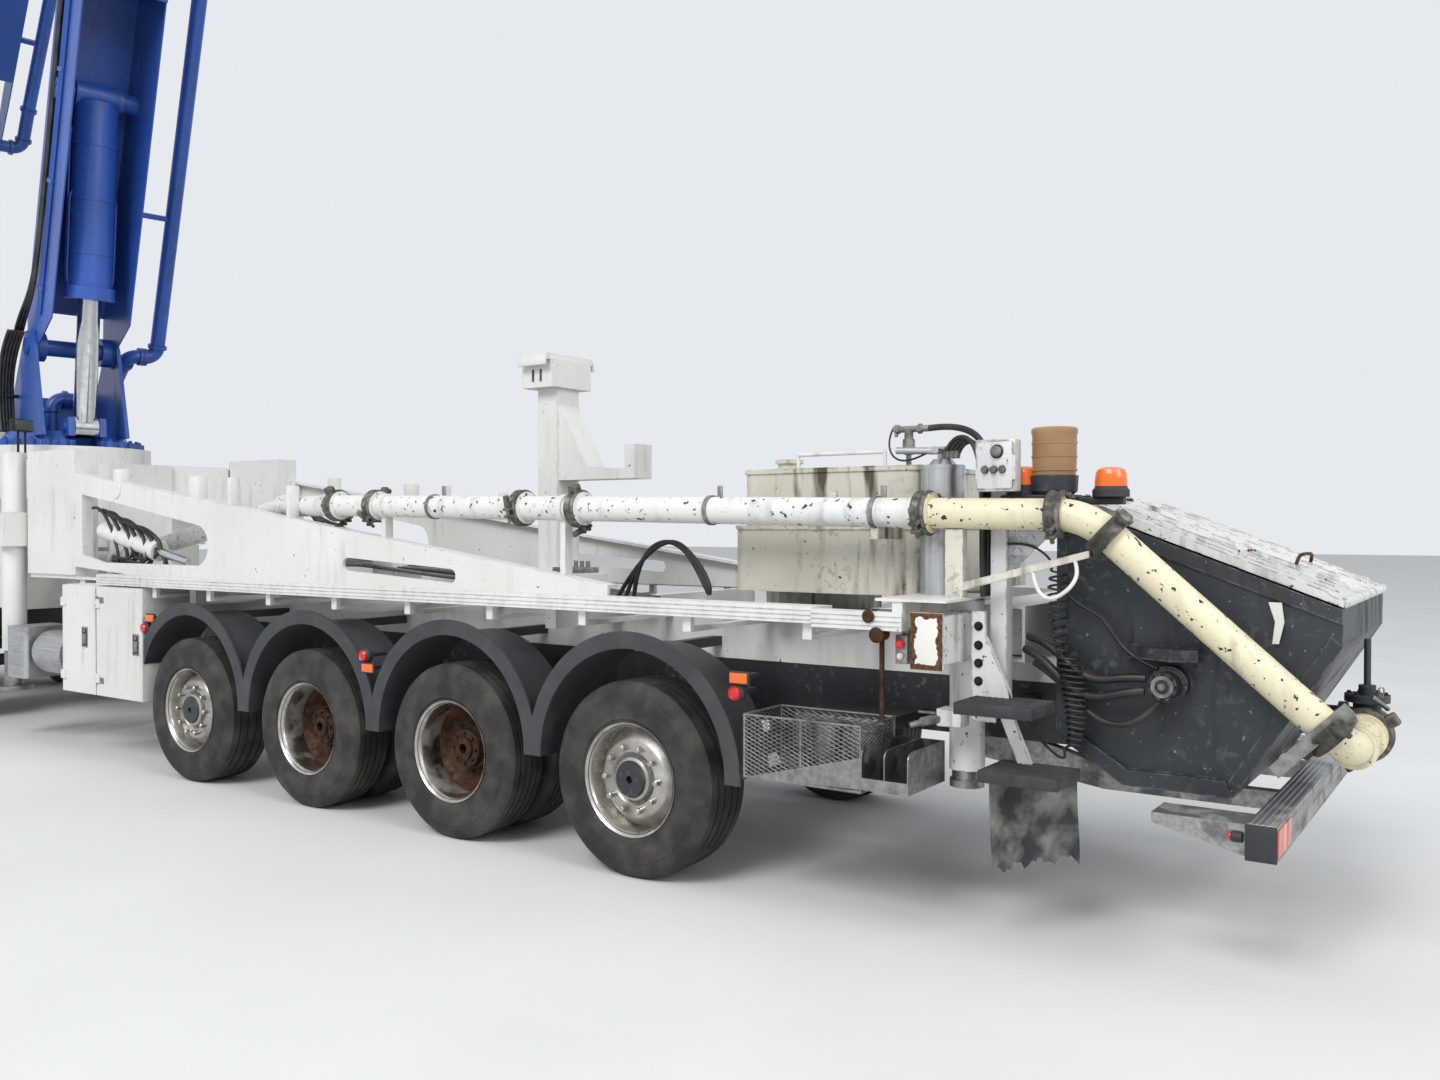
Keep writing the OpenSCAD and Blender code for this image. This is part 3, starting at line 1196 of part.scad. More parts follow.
// Delivery pipe of each section, beside it: its start, run and end
pipe_side = [800, 460, -830, -800];
bracket_at = [0.12, 0.37, 0.63, 0.88];
pipe_ends = [
    [[[0, swivel_y[0] + 11, 0], [0, 800, 0]],
        [[11100, 800, 0], [11900, 800, fold_z[0]], [11900, swivel_y[1] + 11, fold_z[0]]]],
    [[[0, swivel_y[1] + 10, 0], [0, 460, 0]],
        [[10500, 460, 0], [11000, 460, fold_z[1]], [11000, arm_w[1] / 2 + 15.3, fold_z[1]]]],
    [[[0, lane - 100, 0], [0, -830, 0]],
        [[9300, -830, 0], [9700, -1080, 0], [10250, -1080, 0], [10600, -1080, fold_z[2]],
            [10600, swivel_y[3] - 1, fold_z[2]]]],
    [[[0, swivel_y[3] + 1, 0], [0, pipe_side[3], 0]], [[hose_stub[1], pipe_side[3], 0]]]];
module arm_pipe(i, face) {
    l = arm_l[i];
    y = pipe_side[i];
    pipe_run(concat(pipe_ends[i][0], pipe_ends[i][1]), pipe_r);
    for (f = bracket_at) block([f * l - 25, f * l + 25], [min(face, y), max(face, y)], [-30, 30]);
}
channel_l = 3400;
lift_x = 2430;
lift_z = 20;
lift_pin_r = 65;
module arm_1() {
    color("royalblue") arm_1_frame() difference() {
        union() {
            arm_box(0, 1, channel_l, arm_l[0] - fork_l[0], 0);
            fork(0, 1, 0);
            arm_pipe(0, arm_w[0] / 2 - 5);
            // Open channel at the root: two side plates and a top plate
            for (y = [-arm_w[0] / 2, arm_w[0] / 2 - arm_t])
                slab([[-130, -130], [-130, 130], [300, arm_top[0]], [channel_l + 1, arm_top[0]],
                    [channel_l + 1, -480], [400, -500], [60, -180]], y, y + arm_t);
            slab([[300, arm_top[0] - arm_t], [300, arm_top[0]], [channel_l + 1, arm_top[0]],
                [channel_l + 1, arm_top[0] - arm_t]], -arm_w[0] / 2, arm_w[0] / 2);
            for (s = [-1, 1]) cross_bar(0, 0, 140, s > 0 ? 250 : -arm_w[0] / 2, s > 0 ? arm_w[0] / 2 : -250);
            // Pin of the barrel with its two lugs
            for (s = [-1, 1]) cross_bar(lift_x, lift_z, 90, s > 0 ? 215 : -arm_w[0] / 2 + 1,
                s > 0 ? arm_w[0] / 2 - 1 : -215);
            cross_bar(lift_x, lift_z, lift_pin_r, -216, 216);
        }
        cross_bar(0, 0, pivot_r + run_gap, -600, 600);
    }
}
module arm_2() {
    color("royalblue") arm_2_frame() union() {
        arm_box(1, 1, 180, arm_l[1] - fork_l[1], 0);
        fork(1, 1, 0);
        arm_pipe(1, arm_w[1] / 2 - 5);
        arm_root(1, 1, 110, 0);
        cross_bar(0, 0, pin_r[0], -arm_w[0] / 2 - 15, arm_w[0] / 2 + 15);
        horn(horn_r[0], 0);
    }
}
module arm_3() {
    color("royalblue") arm_3_frame() union() {
        arm_box(2, -1, 180, arm_l[2] - fork_l[2], lane);
        fork(2, -1, lane);
        arm_pipe(2, lane - arm_w[2] / 2 + 5);
        arm_root(2, -1, 100, lane);
        cross_bar(0, 0, pin_r[1], lane, arm_w[1] / 2 + 15);
        horn(horn_r[1], 0);
    }
}
module arm_4() {
    color("royalblue") arm_4_frame() union() {
        arm_box(3, -1, 180, arm_l[3], lane);
        arm_pipe(3, lane - arm_w[3] / 2 + 5);
        ring([hose_stub[0], pipe_side[3], 0], [1, 0, 0], pipe_r);
        arm_root(3, -1, 100, lane);
        cross_bar(0, 0, pin_r[2], lane - arm_w[2] / 2 - 10, lane + arm_w[2] / 2 + 15);
        horn(horn_r[2], lane);
    }
}
// Lift cylinder: barrel hinged in the first section, rod's eye in the clevis
lift_len = norm([pivot_x + cos(lift_rest) * lift_x - sin(lift_rest) * lift_z - foot_x,
    pivot_z + sin(lift_rest) * lift_x + cos(lift_rest) * lift_z - foot_z]);
lift_angle = atan2(pivot_z + sin(lift_rest) * lift_x + cos(lift_rest) * lift_z - foot_z,
    pivot_x + cos(lift_rest) * lift_x - sin(lift_rest) * lift_z - foot_x);
barrel_r = 190;
rod_r = 100;
barrel_l = 1860;
// Drawn from the rod's pin, +X towards the barrel's pin
module lift_frame() {
    boom_frame() translate([foot_x, 0, foot_z]) rotate([0, -lift_angle, 0]) children();
}
module lift_rod() {
    color("silver") lift_frame() union() {
        // Eye, with its pin between the clevis's cheeks
        cross_bar(0, 0, eye_r, -foot_gap + clear, foot_gap - clear);
        bar([60, 0, 0], [lift_len - barrel_l + 250, 0, 0], rod_r);
    }
}
module lift_barrel() {
    color("royalblue") lift_frame() difference() {
        union() {
            bar([lift_len - barrel_l, 0, 0], [lift_len - 60, 0, 0], barrel_r);
            bar([lift_len - barrel_l, 0, 0], [lift_len - barrel_l + 90, 0, 0], barrel_r + 30);
            cross_bar(lift_len, 0, 120, -205, 205);
        }
        bar([lift_len - barrel_l - 1, 0, 0], [lift_len - 200, 0, 0], rod_r + run_gap);
        cross_bar(lift_len, 0, lift_pin_r + run_gap, -206, 206);
    }
}

chassis();
axles();
engine_block();
cab_shell();
cab_interior();
cab_glass();
cab_door_left();
cab_door_right();
door_glass_left();
door_glass_right();
subframe();
deck();
fenders();
locker();
locker_door_front();
locker_door_rear();
side_tanks();
water_tank();
deck_pipe();
pump_unit();
hopper();
hopper_lid();
agitator();
rear_guard();
side_trays();
vessel();
mudflaps();
wheel_1_left();
wheel_1_right();
wheel_2_left();
wheel_2_right();
wheel_3_left();
wheel_3_right();
wheel_4_left();
wheel_4_right();
wheel_5_left();
wheel_5_right();
wheel_6_left();
wheel_6_right();
knuckle_1_left();
knuckle_1_right();
knuckle_2_left();
knuckle_2_right();
knuckle_6_left();
knuckle_6_right();
front_beam_left();
front_beam_right();
rear_beam_left();
rear_beam_right();
front_leg_left();
front_leg_right();
rear_leg_left();
rear_leg_right();
turret();
lift_rod();
lift_barrel();
arm_1();
arm_2();
arm_3();
arm_4();
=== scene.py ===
# %% [markdown]
# # A truck-mounted concrete pump
# The machine is a six-axle truck with a placing boom behind its cab, a delivery line along its
# left side and a hopper at its tail. The solids come from the CAD frame. This lesson gives them
# their finishes and adds what a modeller adds by hand: tyres with tread, turned rims, hoses,
# clamps, lamps, bolts and mesh.

# %% Load the frame
import math

import bpy
from mathutils import Matrix, Vector


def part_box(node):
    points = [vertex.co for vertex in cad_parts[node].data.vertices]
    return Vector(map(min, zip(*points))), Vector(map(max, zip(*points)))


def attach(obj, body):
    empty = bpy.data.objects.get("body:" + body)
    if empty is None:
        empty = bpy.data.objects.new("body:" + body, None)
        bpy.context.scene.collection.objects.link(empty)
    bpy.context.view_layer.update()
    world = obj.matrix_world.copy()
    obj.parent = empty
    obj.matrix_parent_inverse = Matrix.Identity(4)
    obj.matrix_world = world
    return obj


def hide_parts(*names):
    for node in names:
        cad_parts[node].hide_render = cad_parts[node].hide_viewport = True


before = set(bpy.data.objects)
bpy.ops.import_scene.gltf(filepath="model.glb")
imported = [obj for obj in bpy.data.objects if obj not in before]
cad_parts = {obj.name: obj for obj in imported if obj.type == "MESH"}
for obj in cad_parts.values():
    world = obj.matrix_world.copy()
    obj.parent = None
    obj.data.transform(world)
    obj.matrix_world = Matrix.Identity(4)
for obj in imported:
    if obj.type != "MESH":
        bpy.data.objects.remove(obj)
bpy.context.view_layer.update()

# %% [markdown]
# Colours are written as sRGB hex values, as a paint chart gives them. Blender's sockets want
# linear light, so one function turns them. Another adds a node with its settings and links.

# %% Colour and node helpers
# A Mix node keeps a factor on input 0, its two colours on 6 and 7, and the mixed one on output 2
FACTOR, UNDER, OVER, MIXED = 0, 6, 7, 2
BLEND = {"data_type": "RGBA"}
TIMES = {"operation": "MULTIPLY"}


def linear(hex_colour):
    channels = [int(hex_colour[i:i + 2], 16) / 255 for i in (1, 3, 5)]
    return [c / 12.92 if c <= 0.04045 else ((c + 0.055) / 1.055) ** 2.4 for c in channels] + [1]


def add(tree, kind, inputs=None, **settings):
    """A node with its settings; an input, by name or number, is a value or another's socket."""
    node = tree.nodes.new("ShaderNode" + kind)
    for name, value in settings.items():
        setattr(node, name, value)
    for name, value in (inputs or {}).items():
        if isinstance(value, bpy.types.NodeSocket):
            tree.links.new(value, node.inputs[name])
        else:
            node.inputs[name].default_value = value
    return node


def new_material(name):
    material = bpy.data.materials.new(name)
    material.use_nodes = True
    tree = material.node_tree
    tree.nodes.clear()
    return material, tree


def noise_mask(tree, coords, scale, low, high, detail=4, stretch=(1, 1, 1), offset=(0, 0, 0)):
    """0 to 1 where a noise passes from low to high. Scale is in waves per metre."""
    place = add(tree, "Mapping", {"Vector": coords, "Scale": stretch, "Location": offset})
    noise = add(tree, "TexNoise", {"Vector": place.outputs[0], "Scale": scale, "Detail": detail})
    ramp = add(tree, "MapRange", {"Value": noise.outputs[0], "From Min": low, "From Max": high})
    return ramp.outputs[0]


print("a mid grey is", round(linear("#808080")[0], 3), "in linear light")


# %% [markdown]
# ## Weathered paint
# Sprayed two-pack enamel on steel: smooth and half glossy where it is clean, dull where dust
# lies, with dirt washed down in streaks, grey cement splashes, and chips down to rust. All
# of them are noises on Object coordinates at a real scale, so the pattern sits still on the steel.

# %% Paint family
NEW_COAT_FROM, NEW_COAT_TO = -5.85, -5.80


def painted_steel(name, coat, shade, dirt="#5d564b", dirt_amount=0.45, chip=0.69, chip_colour="#4a2c1c",
                  splash=0.0, splash_colour="#8d8b84", rough=0.42, wear=0.7, forward_coat=None):
    material, tree = new_material(name)
    coords = add(tree, "TexCoord").outputs["Object"]
    # Slow fading of the coat, about one patch a metre
    fade = noise_mask(tree, coords, 1.1, 0.35, 0.7)
    colour = add(tree, "Mix", {FACTOR: fade, UNDER: linear(coat), OVER: linear(shade)}, **BLEND).outputs[MIXED]
    if forward_coat:
        # The line is a newer, whiter coat forward of the last clamp on the deck
        along = add(tree, "SeparateXYZ", {0: coords})
        newer = add(tree, "MapRange", {"Value": along.outputs[0], "From Min": NEW_COAT_FROM,
                                        "From Max": NEW_COAT_TO})
        colour = add(tree, "Mix", {FACTOR: newer.outputs[0], UNDER: colour, OVER: linear(forward_coat)},
                     **BLEND).outputs[MIXED]
    # Dirt washed down in streaks 20 to 60 mm wide
    streaks = noise_mask(tree, coords, 14, 0.5, 0.78, detail=6, stretch=(1, 1, 0.12))
    patches = noise_mask(tree, coords, 2.3, 0.42, 0.66, offset=(3, 7, 1))
    dirt_mask = add(tree, "Math", {0: streaks, 1: patches}, **TIMES).outputs[0]
    dirt_mask = add(tree, "Math", {0: dirt_mask, 1: dirt_amount * 2}, **TIMES).outputs[0]
    colour = add(tree, "Mix", {FACTOR: dirt_mask, UNDER: colour, OVER: linear(dirt)}, **BLEND).outputs[MIXED]
    # Grey cement splashes
    spots = noise_mask(tree, coords, 26, 0.57, 0.63, detail=8, offset=(1, 2, 3))
    cloud = noise_mask(tree, coords, 2.6, 0.44, 0.6, offset=(9, 2, 5))
    splash_mask = add(tree, "Math", {0: spots, 1: cloud}, **TIMES).outputs[0]
    splash_mask = add(tree, "Math", {0: splash_mask, 1: splash}, **TIMES).outputs[0]
    colour = add(tree, "Mix", {FACTOR: splash_mask, UNDER: colour, OVER: linear(splash_colour)},
                 **BLEND).outputs[MIXED]
    # Chips a few millimetres across, more of them along edges
    edge = add(tree, "Bevel", {"Radius": 0.012}, samples=3)
    plain = add(tree, "NewGeometry")
    dot = add(tree, "VectorMath", {0: edge.outputs[0], 1: plain.outputs["Normal"]}, operation="DOT_PRODUCT")
    edge_mask = add(tree, "MapRange", {"Value": dot.outputs["Value"], "From Min": 0.96, "From Max": 0.82})
    grain = noise_mask(tree, coords, 18, 0.46, 0.6, detail=6, offset=(4, 4, 4))
    edge_wear = add(tree, "Math", {0: edge_mask.outputs[0], 1: grain}, **TIMES).outputs[0]
    edge_wear = add(tree, "Math", {0: edge_wear, 1: wear}, **TIMES).outputs[0]
    chips = noise_mask(tree, coords, 34, chip, chip + 0.02, detail=5, offset=(8, 1, 6))
    rust = add(tree, "Math", {0: edge_wear, 1: chips}, operation="MAXIMUM").outputs[0]
    colour = add(tree, "Mix", {FACTOR: rust, UNDER: colour, OVER: linear(chip_colour)}, **BLEND).outputs[MIXED]
    dull = add(tree, "Math", {0: dirt_mask, 1: rust}, operation="MAXIMUM").outputs[0]
    roughness = add(tree, "MapRange", {"Value": dull, "To Min": rough, "To Max": 0.85}).outputs[0]
    fine = add(tree, "TexNoise", {"Vector": coords, "Scale": 60, "Detail": 3})
    height = add(tree, "Math", {0: fine.outputs[0], 1: rust}, operation="SUBTRACT").outputs[0]
    bump = add(tree, "Bump", {"Height": height, "Strength": 0.18, "Distance": 0.002})
    shader = add(tree, "BsdfPrincipled", {"Base Color": colour, "Roughness": roughness,
                                          "Normal": bump.outputs[0], "IOR": 1.5})
    add(tree, "OutputMaterial", {"Surface": shader.outputs[0]})
    return material


WHITE = painted_steel("off_white_enamel", "#dcdcd8", "#d0d0ca", dirt="#6b6252", dirt_amount=0.22, splash=0.08,
                      chip=0.72, wear=0.4)
WORN_WHITE = painted_steel("worn_white_enamel", "#d6d7d5", "#c2c3c1", dirt="#4f473c", dirt_amount=0.6, splash=0.45,
                           splash_colour="#8f8f8a", chip=0.66, chip_colour="#5b3a22", wear=1.6)
TANK_WHITE = painted_steel("tank_enamel", "#d3d0c3", "#bcb7a6", dirt="#4f4739", dirt_amount=0.95, splash=0.6)
BLUE = painted_steel("blue_enamel", "#2c55a8", "#25488f", dirt="#2b2d33", dirt_amount=0.35, splash=0.1, rough=0.35)
FRAME_GREY = painted_steel("frame_enamel", "#23262a", "#2d3033", dirt="#4a443b", splash=0.3, chip=0.72)
HOPPER_GREY = painted_steel("hopper_enamel", "#31373d", "#23272c", dirt="#15161a", dirt_amount=0.9, splash=0.5,
                            splash_colour="#5b5d5c", chip=0.70, chip_colour="#7d7f80")
PIPE_CREAM = painted_steel("delivery_line_enamel", "#e0d6b6", "#d6cdb0", dirt="#54493a", dirt_amount=0.35,
                           splash=0.2, splash_colour="#6b675c", chip=0.64, chip_colour="#2b2a28", wear=0.5,
                           forward_coat="#dadad6")
print("materials after the paints:", len(bpy.data.materials))

# %% [markdown]
# ## Bare metals
# Extruded aluminium rails are satin with fine lines along the extrusion. A cylinder rod is hard
# chrome, ground round and oily. Castings are coarse and brown where their paint has gone.

# %% Metal family
def bare_metal(name, colour, shade, rough, scale=40, stretch=(1, 1, 1), dirt="#3b362e", dirt_amount=0.4):
    material, tree = new_material(name)
    coords = add(tree, "TexCoord").outputs["Object"]
    lines = noise_mask(tree, coords, scale, 0.3, 0.7, stretch=stretch)
    tone = add(tree, "Mix", {FACTOR: lines, UNDER: linear(colour), OVER: linear(shade)}, **BLEND).outputs[MIXED]
    soil = noise_mask(tree, coords, 6, 0.5, 0.72, detail=7)
    soil = add(tree, "Math", {0: soil, 1: dirt_amount}, **TIMES).outputs[0]
    tone = add(tree, "Mix", {FACTOR: soil, UNDER: tone, OVER: linear(dirt)}, **BLEND).outputs[MIXED]
    metallic = add(tree, "MapRange", {"Value": soil, "To Min": 1.0, "To Max": 0.2}).outputs[0]
    rough_value = add(tree, "MapRange", {"Value": lines, "To Min": rough, "To Max": rough + 0.14}).outputs[0]
    rough_dirty = add(tree, "Math", {0: rough_value, 1: soil}, operation="ADD", use_clamp=True).outputs[0]
    bump = add(tree, "Bump", {"Height": lines, "Strength": 0.12, "Distance": 0.001})
    shader = add(tree, "BsdfPrincipled", {"Base Color": tone, "Metallic": metallic, "Roughness": rough_dirty,
                                          "Normal": bump.outputs[0]})
    add(tree, "OutputMaterial", {"Surface": shader.outputs[0]})
    return material


ALUMINIUM = bare_metal("extruded_aluminium", "#c4c6c8", "#a9abad", 0.38, scale=90, stretch=(0.03, 1, 1))
RIM_STEEL = bare_metal("forged_rim_aluminium", "#c9c7c2", "#a8a49c", 0.22, scale=14, dirt="#4a4034",
                       dirt_amount=0.5)
CHROME = bare_metal("hard_chrome", "#d6d7d8", "#c2c4c6", 0.08, scale=20, dirt_amount=0.1)
STEEL = bare_metal("ground_steel", "#a4a4a2", "#83827f", 0.36, scale=30, dirt="#40342a", dirt_amount=0.6)
RUSTY = bare_metal("rusty_casting", "#5b463a", "#3c3029", 0.6, scale=22, dirt="#5f3b22", dirt_amount=0.9)
GUARD_METAL = bare_metal("grimy_guard_aluminium", "#b0b2b1", "#8d8e8b", 0.45, scale=50, stretch=(1, 0.04, 1),
                         dirt="#605e57", dirt_amount=0.9)
CLAMP = bare_metal("caked_clamp_iron", "#8d8a83", "#5b5853", 0.6, scale=34, dirt="#3a3630", dirt_amount=0.9)
VESSEL_METAL = bare_metal("rolled_aluminium", "#c9cacb", "#aeb0b1", 0.3, scale=60, stretch=(1, 1, 0.04),
                          dirt="#6e675c")
BLACK_BOLT = bare_metal("oiled_bolt_steel", "#2b2c2d", "#3b3b3a", 0.45, scale=40, dirt="#40342a", dirt_amount=0.5)
print("materials after the metals:", len(bpy.data.materials))

# %% [markdown]
# ## Rubber, plastic and glass
# Tyres are grey-black with dust in the grooves, fenders are moulded polyethylene with a fine
# grain, hoses are satin rubber, and the glass is clear with a green edge.

# %% Soft and clear finishes
def moulded(name, colour, shade, rough, grain_scale=300, dust="#6e675c", dust_amount=0.25, grain=0.15):
    material, tree = new_material(name)
    coords = add(tree, "TexCoord").outputs["Object"]
    cloud = noise_mask(tree, coords, 3, 0.3, 0.7)
    tone = add(tree, "Mix", {FACTOR: cloud, UNDER: linear(colour), OVER: linear(shade)},
               **BLEND).outputs[MIXED]
    dust_mask = noise_mask(tree, coords, 7, 0.42, 0.75, detail=7)
    dust_mask = add(tree, "Math", {0: dust_mask, 1: dust_amount}, **TIMES).outputs[0]
    tone = add(tree, "Mix", {FACTOR: dust_mask, UNDER: tone, OVER: linear(dust)}, **BLEND).outputs[MIXED]
    fine = add(tree, "TexNoise", {"Vector": coords, "Scale": grain_scale, "Detail": 2})
    bump = add(tree, "Bump", {"Height": fine.outputs[0], "Strength": grain, "Distance": 0.001})
    roughness = add(tree, "MapRange", {"Value": dust_mask, "To Min": rough, "To Max": 0.9}).outputs[0]
    shader = add(tree, "BsdfPrincipled", {"Base Color": tone, "Roughness": roughness, "Normal": bump.outputs[0]})
    add(tree, "OutputMaterial", {"Surface": shader.outputs[0]})
    return material


TYRE = moulded("tyre_rubber", "#1c1c1d", "#262524", 0.72, dust="#6b6459", dust_amount=0.4)
FENDER = moulded("moulded_polyethylene", "#2b2e33", "#34373c", 0.5, dust_amount=0.22)
HOSE = moulded("hydraulic_hose_rubber", "#131314", "#1d1d1e", 0.45, dust_amount=0.3)
FLAP = moulded("caked_rubber_sheet", "#25262a", "#3a3b3d", 0.75, dust="#a5a39b", dust_amount=0.8)
TRIM = moulded("cab_trim", "#232629", "#2c2f33", 0.6, dust_amount=0.05)
TREAD = moulded("step_grating_enamel", "#1f2124", "#2c2e31", 0.6, dust="#5c5a55", dust_amount=0.45)
POT_PLASTIC = moulded("grease_pot_plastic", "#8f6b4a", "#a9875f", 0.3, dust="#6b5238", dust_amount=0.4)


def clear_glass(name, colour, rough=0.02):
    material, tree = new_material(name)
    coords = add(tree, "TexCoord").outputs["Object"]
    film = noise_mask(tree, coords, 5, 0.45, 0.8, detail=6)
    roughness = add(tree, "MapRange", {"Value": film, "To Min": rough, "To Max": 0.16}).outputs[0]
    shader = add(tree, "BsdfPrincipled", {"Base Color": linear(colour), "Roughness": roughness,
                                          "Transmission Weight": 0.92, "IOR": 1.45})
    add(tree, "OutputMaterial", {"Surface": shader.outputs[0]})
    return material


GLASS = clear_glass("cab_glass", "#c9d8d6")


def lamp_lens(name, colour, glow=0.12):
    material, tree = new_material(name)
    coords = add(tree, "TexCoord").outputs["Object"]
    ribs = add(tree, "TexWave", {"Vector": coords, "Scale": 60, "Distortion": 0.4})
    bump = add(tree, "Bump", {"Height": ribs.outputs[1], "Strength": 0.4, "Distance": 0.001})
    deeper = [c * 0.6 for c in linear(colour)[:3]] + [1]
    tone = add(tree, "Mix", {FACTOR: ribs.outputs[1], UNDER: linear(colour), OVER: deeper},
               **BLEND).outputs[MIXED]
    # The emission makes every lens glow; on the reflectors and the stop button, which hold no lamp, it is a painted
    # glow.
    shader = add(tree, "BsdfPrincipled", {"Base Color": tone, "Roughness": 0.2, "Normal": bump.outputs[0],
                                          "Emission Color": linear(colour), "Emission Strength": glow,
                                          "Coat Weight": 0.5})
    add(tree, "OutputMaterial", {"Surface": shader.outputs[0]})
    return material


# The reflectors and the stop button use these lenses, so they glow with painted light though they hold no lamp.
RED_LENS = lamp_lens("red_lens", "#c01414", 0.35)
AMBER_LENS = lamp_lens("amber_lens", "#e0661a", 0.3)
print("materials after the lenses:", len(bpy.data.materials))

# %% [markdown]
# ## Finishes on the CAD solids
# Each solid keeps its mesh and gets the finish that the photo shows on it. The solids of the
# turning, sliding and folding bodies are dressed by the family that they belong to.

# %% Dress the solids
FINISH = {
    "chassis": FRAME_GREY, "axles": FRAME_GREY, "engine_block": RUSTY, "cab_shell": WHITE,
    "cab_interior": TRIM, "cab_glass": GLASS, "door_glass_left": GLASS, "door_glass_right": GLASS,
    "deck": WHITE, "fenders": FENDER, "side_tanks": ALUMINIUM, "water_tank": TANK_WHITE,
    "deck_pipe": PIPE_CREAM, "pump_unit": HOPPER_GREY, "hopper": HOPPER_GREY, "agitator": RUSTY,
    "hopper_lid": WORN_WHITE, "rear_guard": GUARD_METAL, "side_trays": STEEL, "lift_rod": CHROME,
    "lift_barrel": BLUE, "turret": BLUE, "vessel": VESSEL_METAL, "mudflaps": FLAP,
    "rear_beam_left": WORN_WHITE, "rear_beam_right": WORN_WHITE}
for name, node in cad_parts.items():
    finish = FINISH.get(name, WHITE)
    if name.startswith("arm"):
        finish = BLUE
    if name.startswith("knuckle"):
        finish = FRAME_GREY
    if "_leg_" in name:
        finish = STEEL
    if name.startswith("wheel"):
        finish = TYRE
    node.data.materials.clear()
    node.data.materials.append(finish)
print(len(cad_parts), "solids dressed")

# %% [markdown]
# ## Modelling helpers
# Pieces are drawn in the truck's own metres: X from the last axle forward, Y to the left of its
# middle, Z from the ground. One matrix, taken from the CAD boxes, moves each finished piece
# into the shared frame. A primitive is new and wholly selected, so the rest is deselected first.

# %% Modelling helpers
CAB_FRONT = 11.9
low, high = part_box("chassis")
to_frame = Matrix.Translation((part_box("cab_shell")[1][0] - CAB_FRONT, (low[1] + high[1]) / 2, 0))
print("truck frame to shared frame", [round(v, 4) for v in to_frame.translation])


def fresh():
    if bpy.context.mode != "OBJECT":
        bpy.ops.object.mode_set(mode="OBJECT")
    bpy.ops.object.select_all(action="DESELECT")


def settle(name, material):
    """Names the active object, gives it its finish and puts its place into its mesh."""
    piece = bpy.context.active_object
    piece.name = name
    piece.data.name = name
    piece.data.materials.clear()
    piece.data.materials.append(material)
    bpy.ops.object.transform_apply(location=True, rotation=True, scale=True)
    return piece


def aim(place, along):
    """Stands a part that was made along Z at a place, looking along a direction."""
    return Matrix.Translation(place) @ Vector(along).to_track_quat("Z", "Y").to_matrix().to_4x4()


def placed(piece, matrix):
    piece.data.transform(matrix)
    return piece


def copy_to(source, name, matrix):
    piece = source.copy()
    piece.data = source.data.copy()
    piece.name = name
    piece.data.name = name
    piece.data.transform(matrix)
    if matrix.determinant() < 0:
        piece.data.flip_normals()
    bpy.context.collection.objects.link(piece)
    return piece


def join(pieces, name):
    fresh()
    for piece in pieces:
        piece.select_set(True)
    bpy.context.view_layer.objects.active = pieces[0]
    bpy.ops.object.join()
    whole = bpy.context.active_object
    whole.name = name
    whole.data.name = name
    return whole


def circle(count, radius):
    """Evenly spaced places round a circle, as pairs of numbers."""
    turns = [2 * math.pi * i / count for i in range(count)]
    return [(radius * math.cos(turn), radius * math.sin(turn)) for turn in turns]


def done(piece, body, slot, *nodes):
    """Moves a piece into the shared frame, hangs it on its body and says what it rides on; the solids that it
    stands for are hidden. The slot is not used.
    """
    piece.data.transform(to_frame)
    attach(piece, body)
    if nodes:
        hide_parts(*nodes)
    print(piece.name, "on", body, "with", len(piece.data.polygons), "faces")


# %% [markdown]
# A turned part starts as a circle whose edge is extruded and resized from ring to ring, as on a
# lathe. A block is a cube with its edges bevelled, a rod a cylinder with its two rims bevelled.

# %% Turned parts, blocks and rods
def turned(name, material, profile, sides, smooth=35):
    """A ring of profile points (radius, height) about Z, closed back on itself."""
    fresh()
    radius, height = profile[0]
    bpy.ops.mesh.primitive_circle_add(vertices=sides, radius=radius, location=(0, 0, height))
    bpy.ops.object.mode_set(mode="EDIT")
    bpy.ops.mesh.select_mode(type="VERT")
    bpy.ops.mesh.select_all(action="SELECT")
    for next_radius, next_height in profile[1:] + profile[:1]:
        bpy.ops.mesh.extrude_region_move(TRANSFORM_OT_translate={"value": (0, 0, next_height - height)})
        factor = next_radius / radius
        bpy.ops.transform.resize(value=(factor, factor, 1), center_override=(0, 0, 0))
        radius, height = next_radius, next_height
    bpy.ops.mesh.select_all(action="SELECT")
    bpy.ops.mesh.remove_doubles(threshold=0.0002)
    bpy.ops.mesh.normals_make_consistent(inside=False)
    bpy.ops.object.mode_set(mode="OBJECT")
    piece = settle(name, material)
    bpy.ops.object.shade_smooth_by_angle(angle=math.radians(smooth))
    return piece


def block(name, material, low, high, bevel=0.004):
    fresh()
    middle = [(a + b) / 2 for a, b in zip(low, high)]
    bpy.ops.mesh.primitive_cube_add(size=1, location=middle, scale=[b - a for a, b in zip(low, high)])
    bpy.ops.object.transform_apply(location=False, rotation=False, scale=True)
    bpy.ops.object.mode_set(mode="EDIT")
    bpy.ops.mesh.select_mode(type="EDGE")
    bpy.ops.mesh.select_all(action="SELECT")
    bpy.ops.mesh.bevel(offset=bevel, segments=2)
    bpy.ops.object.mode_set(mode="OBJECT")
    piece = settle(name, material)
    bpy.ops.object.shade_smooth_by_angle(angle=math.radians(30))
    return piece


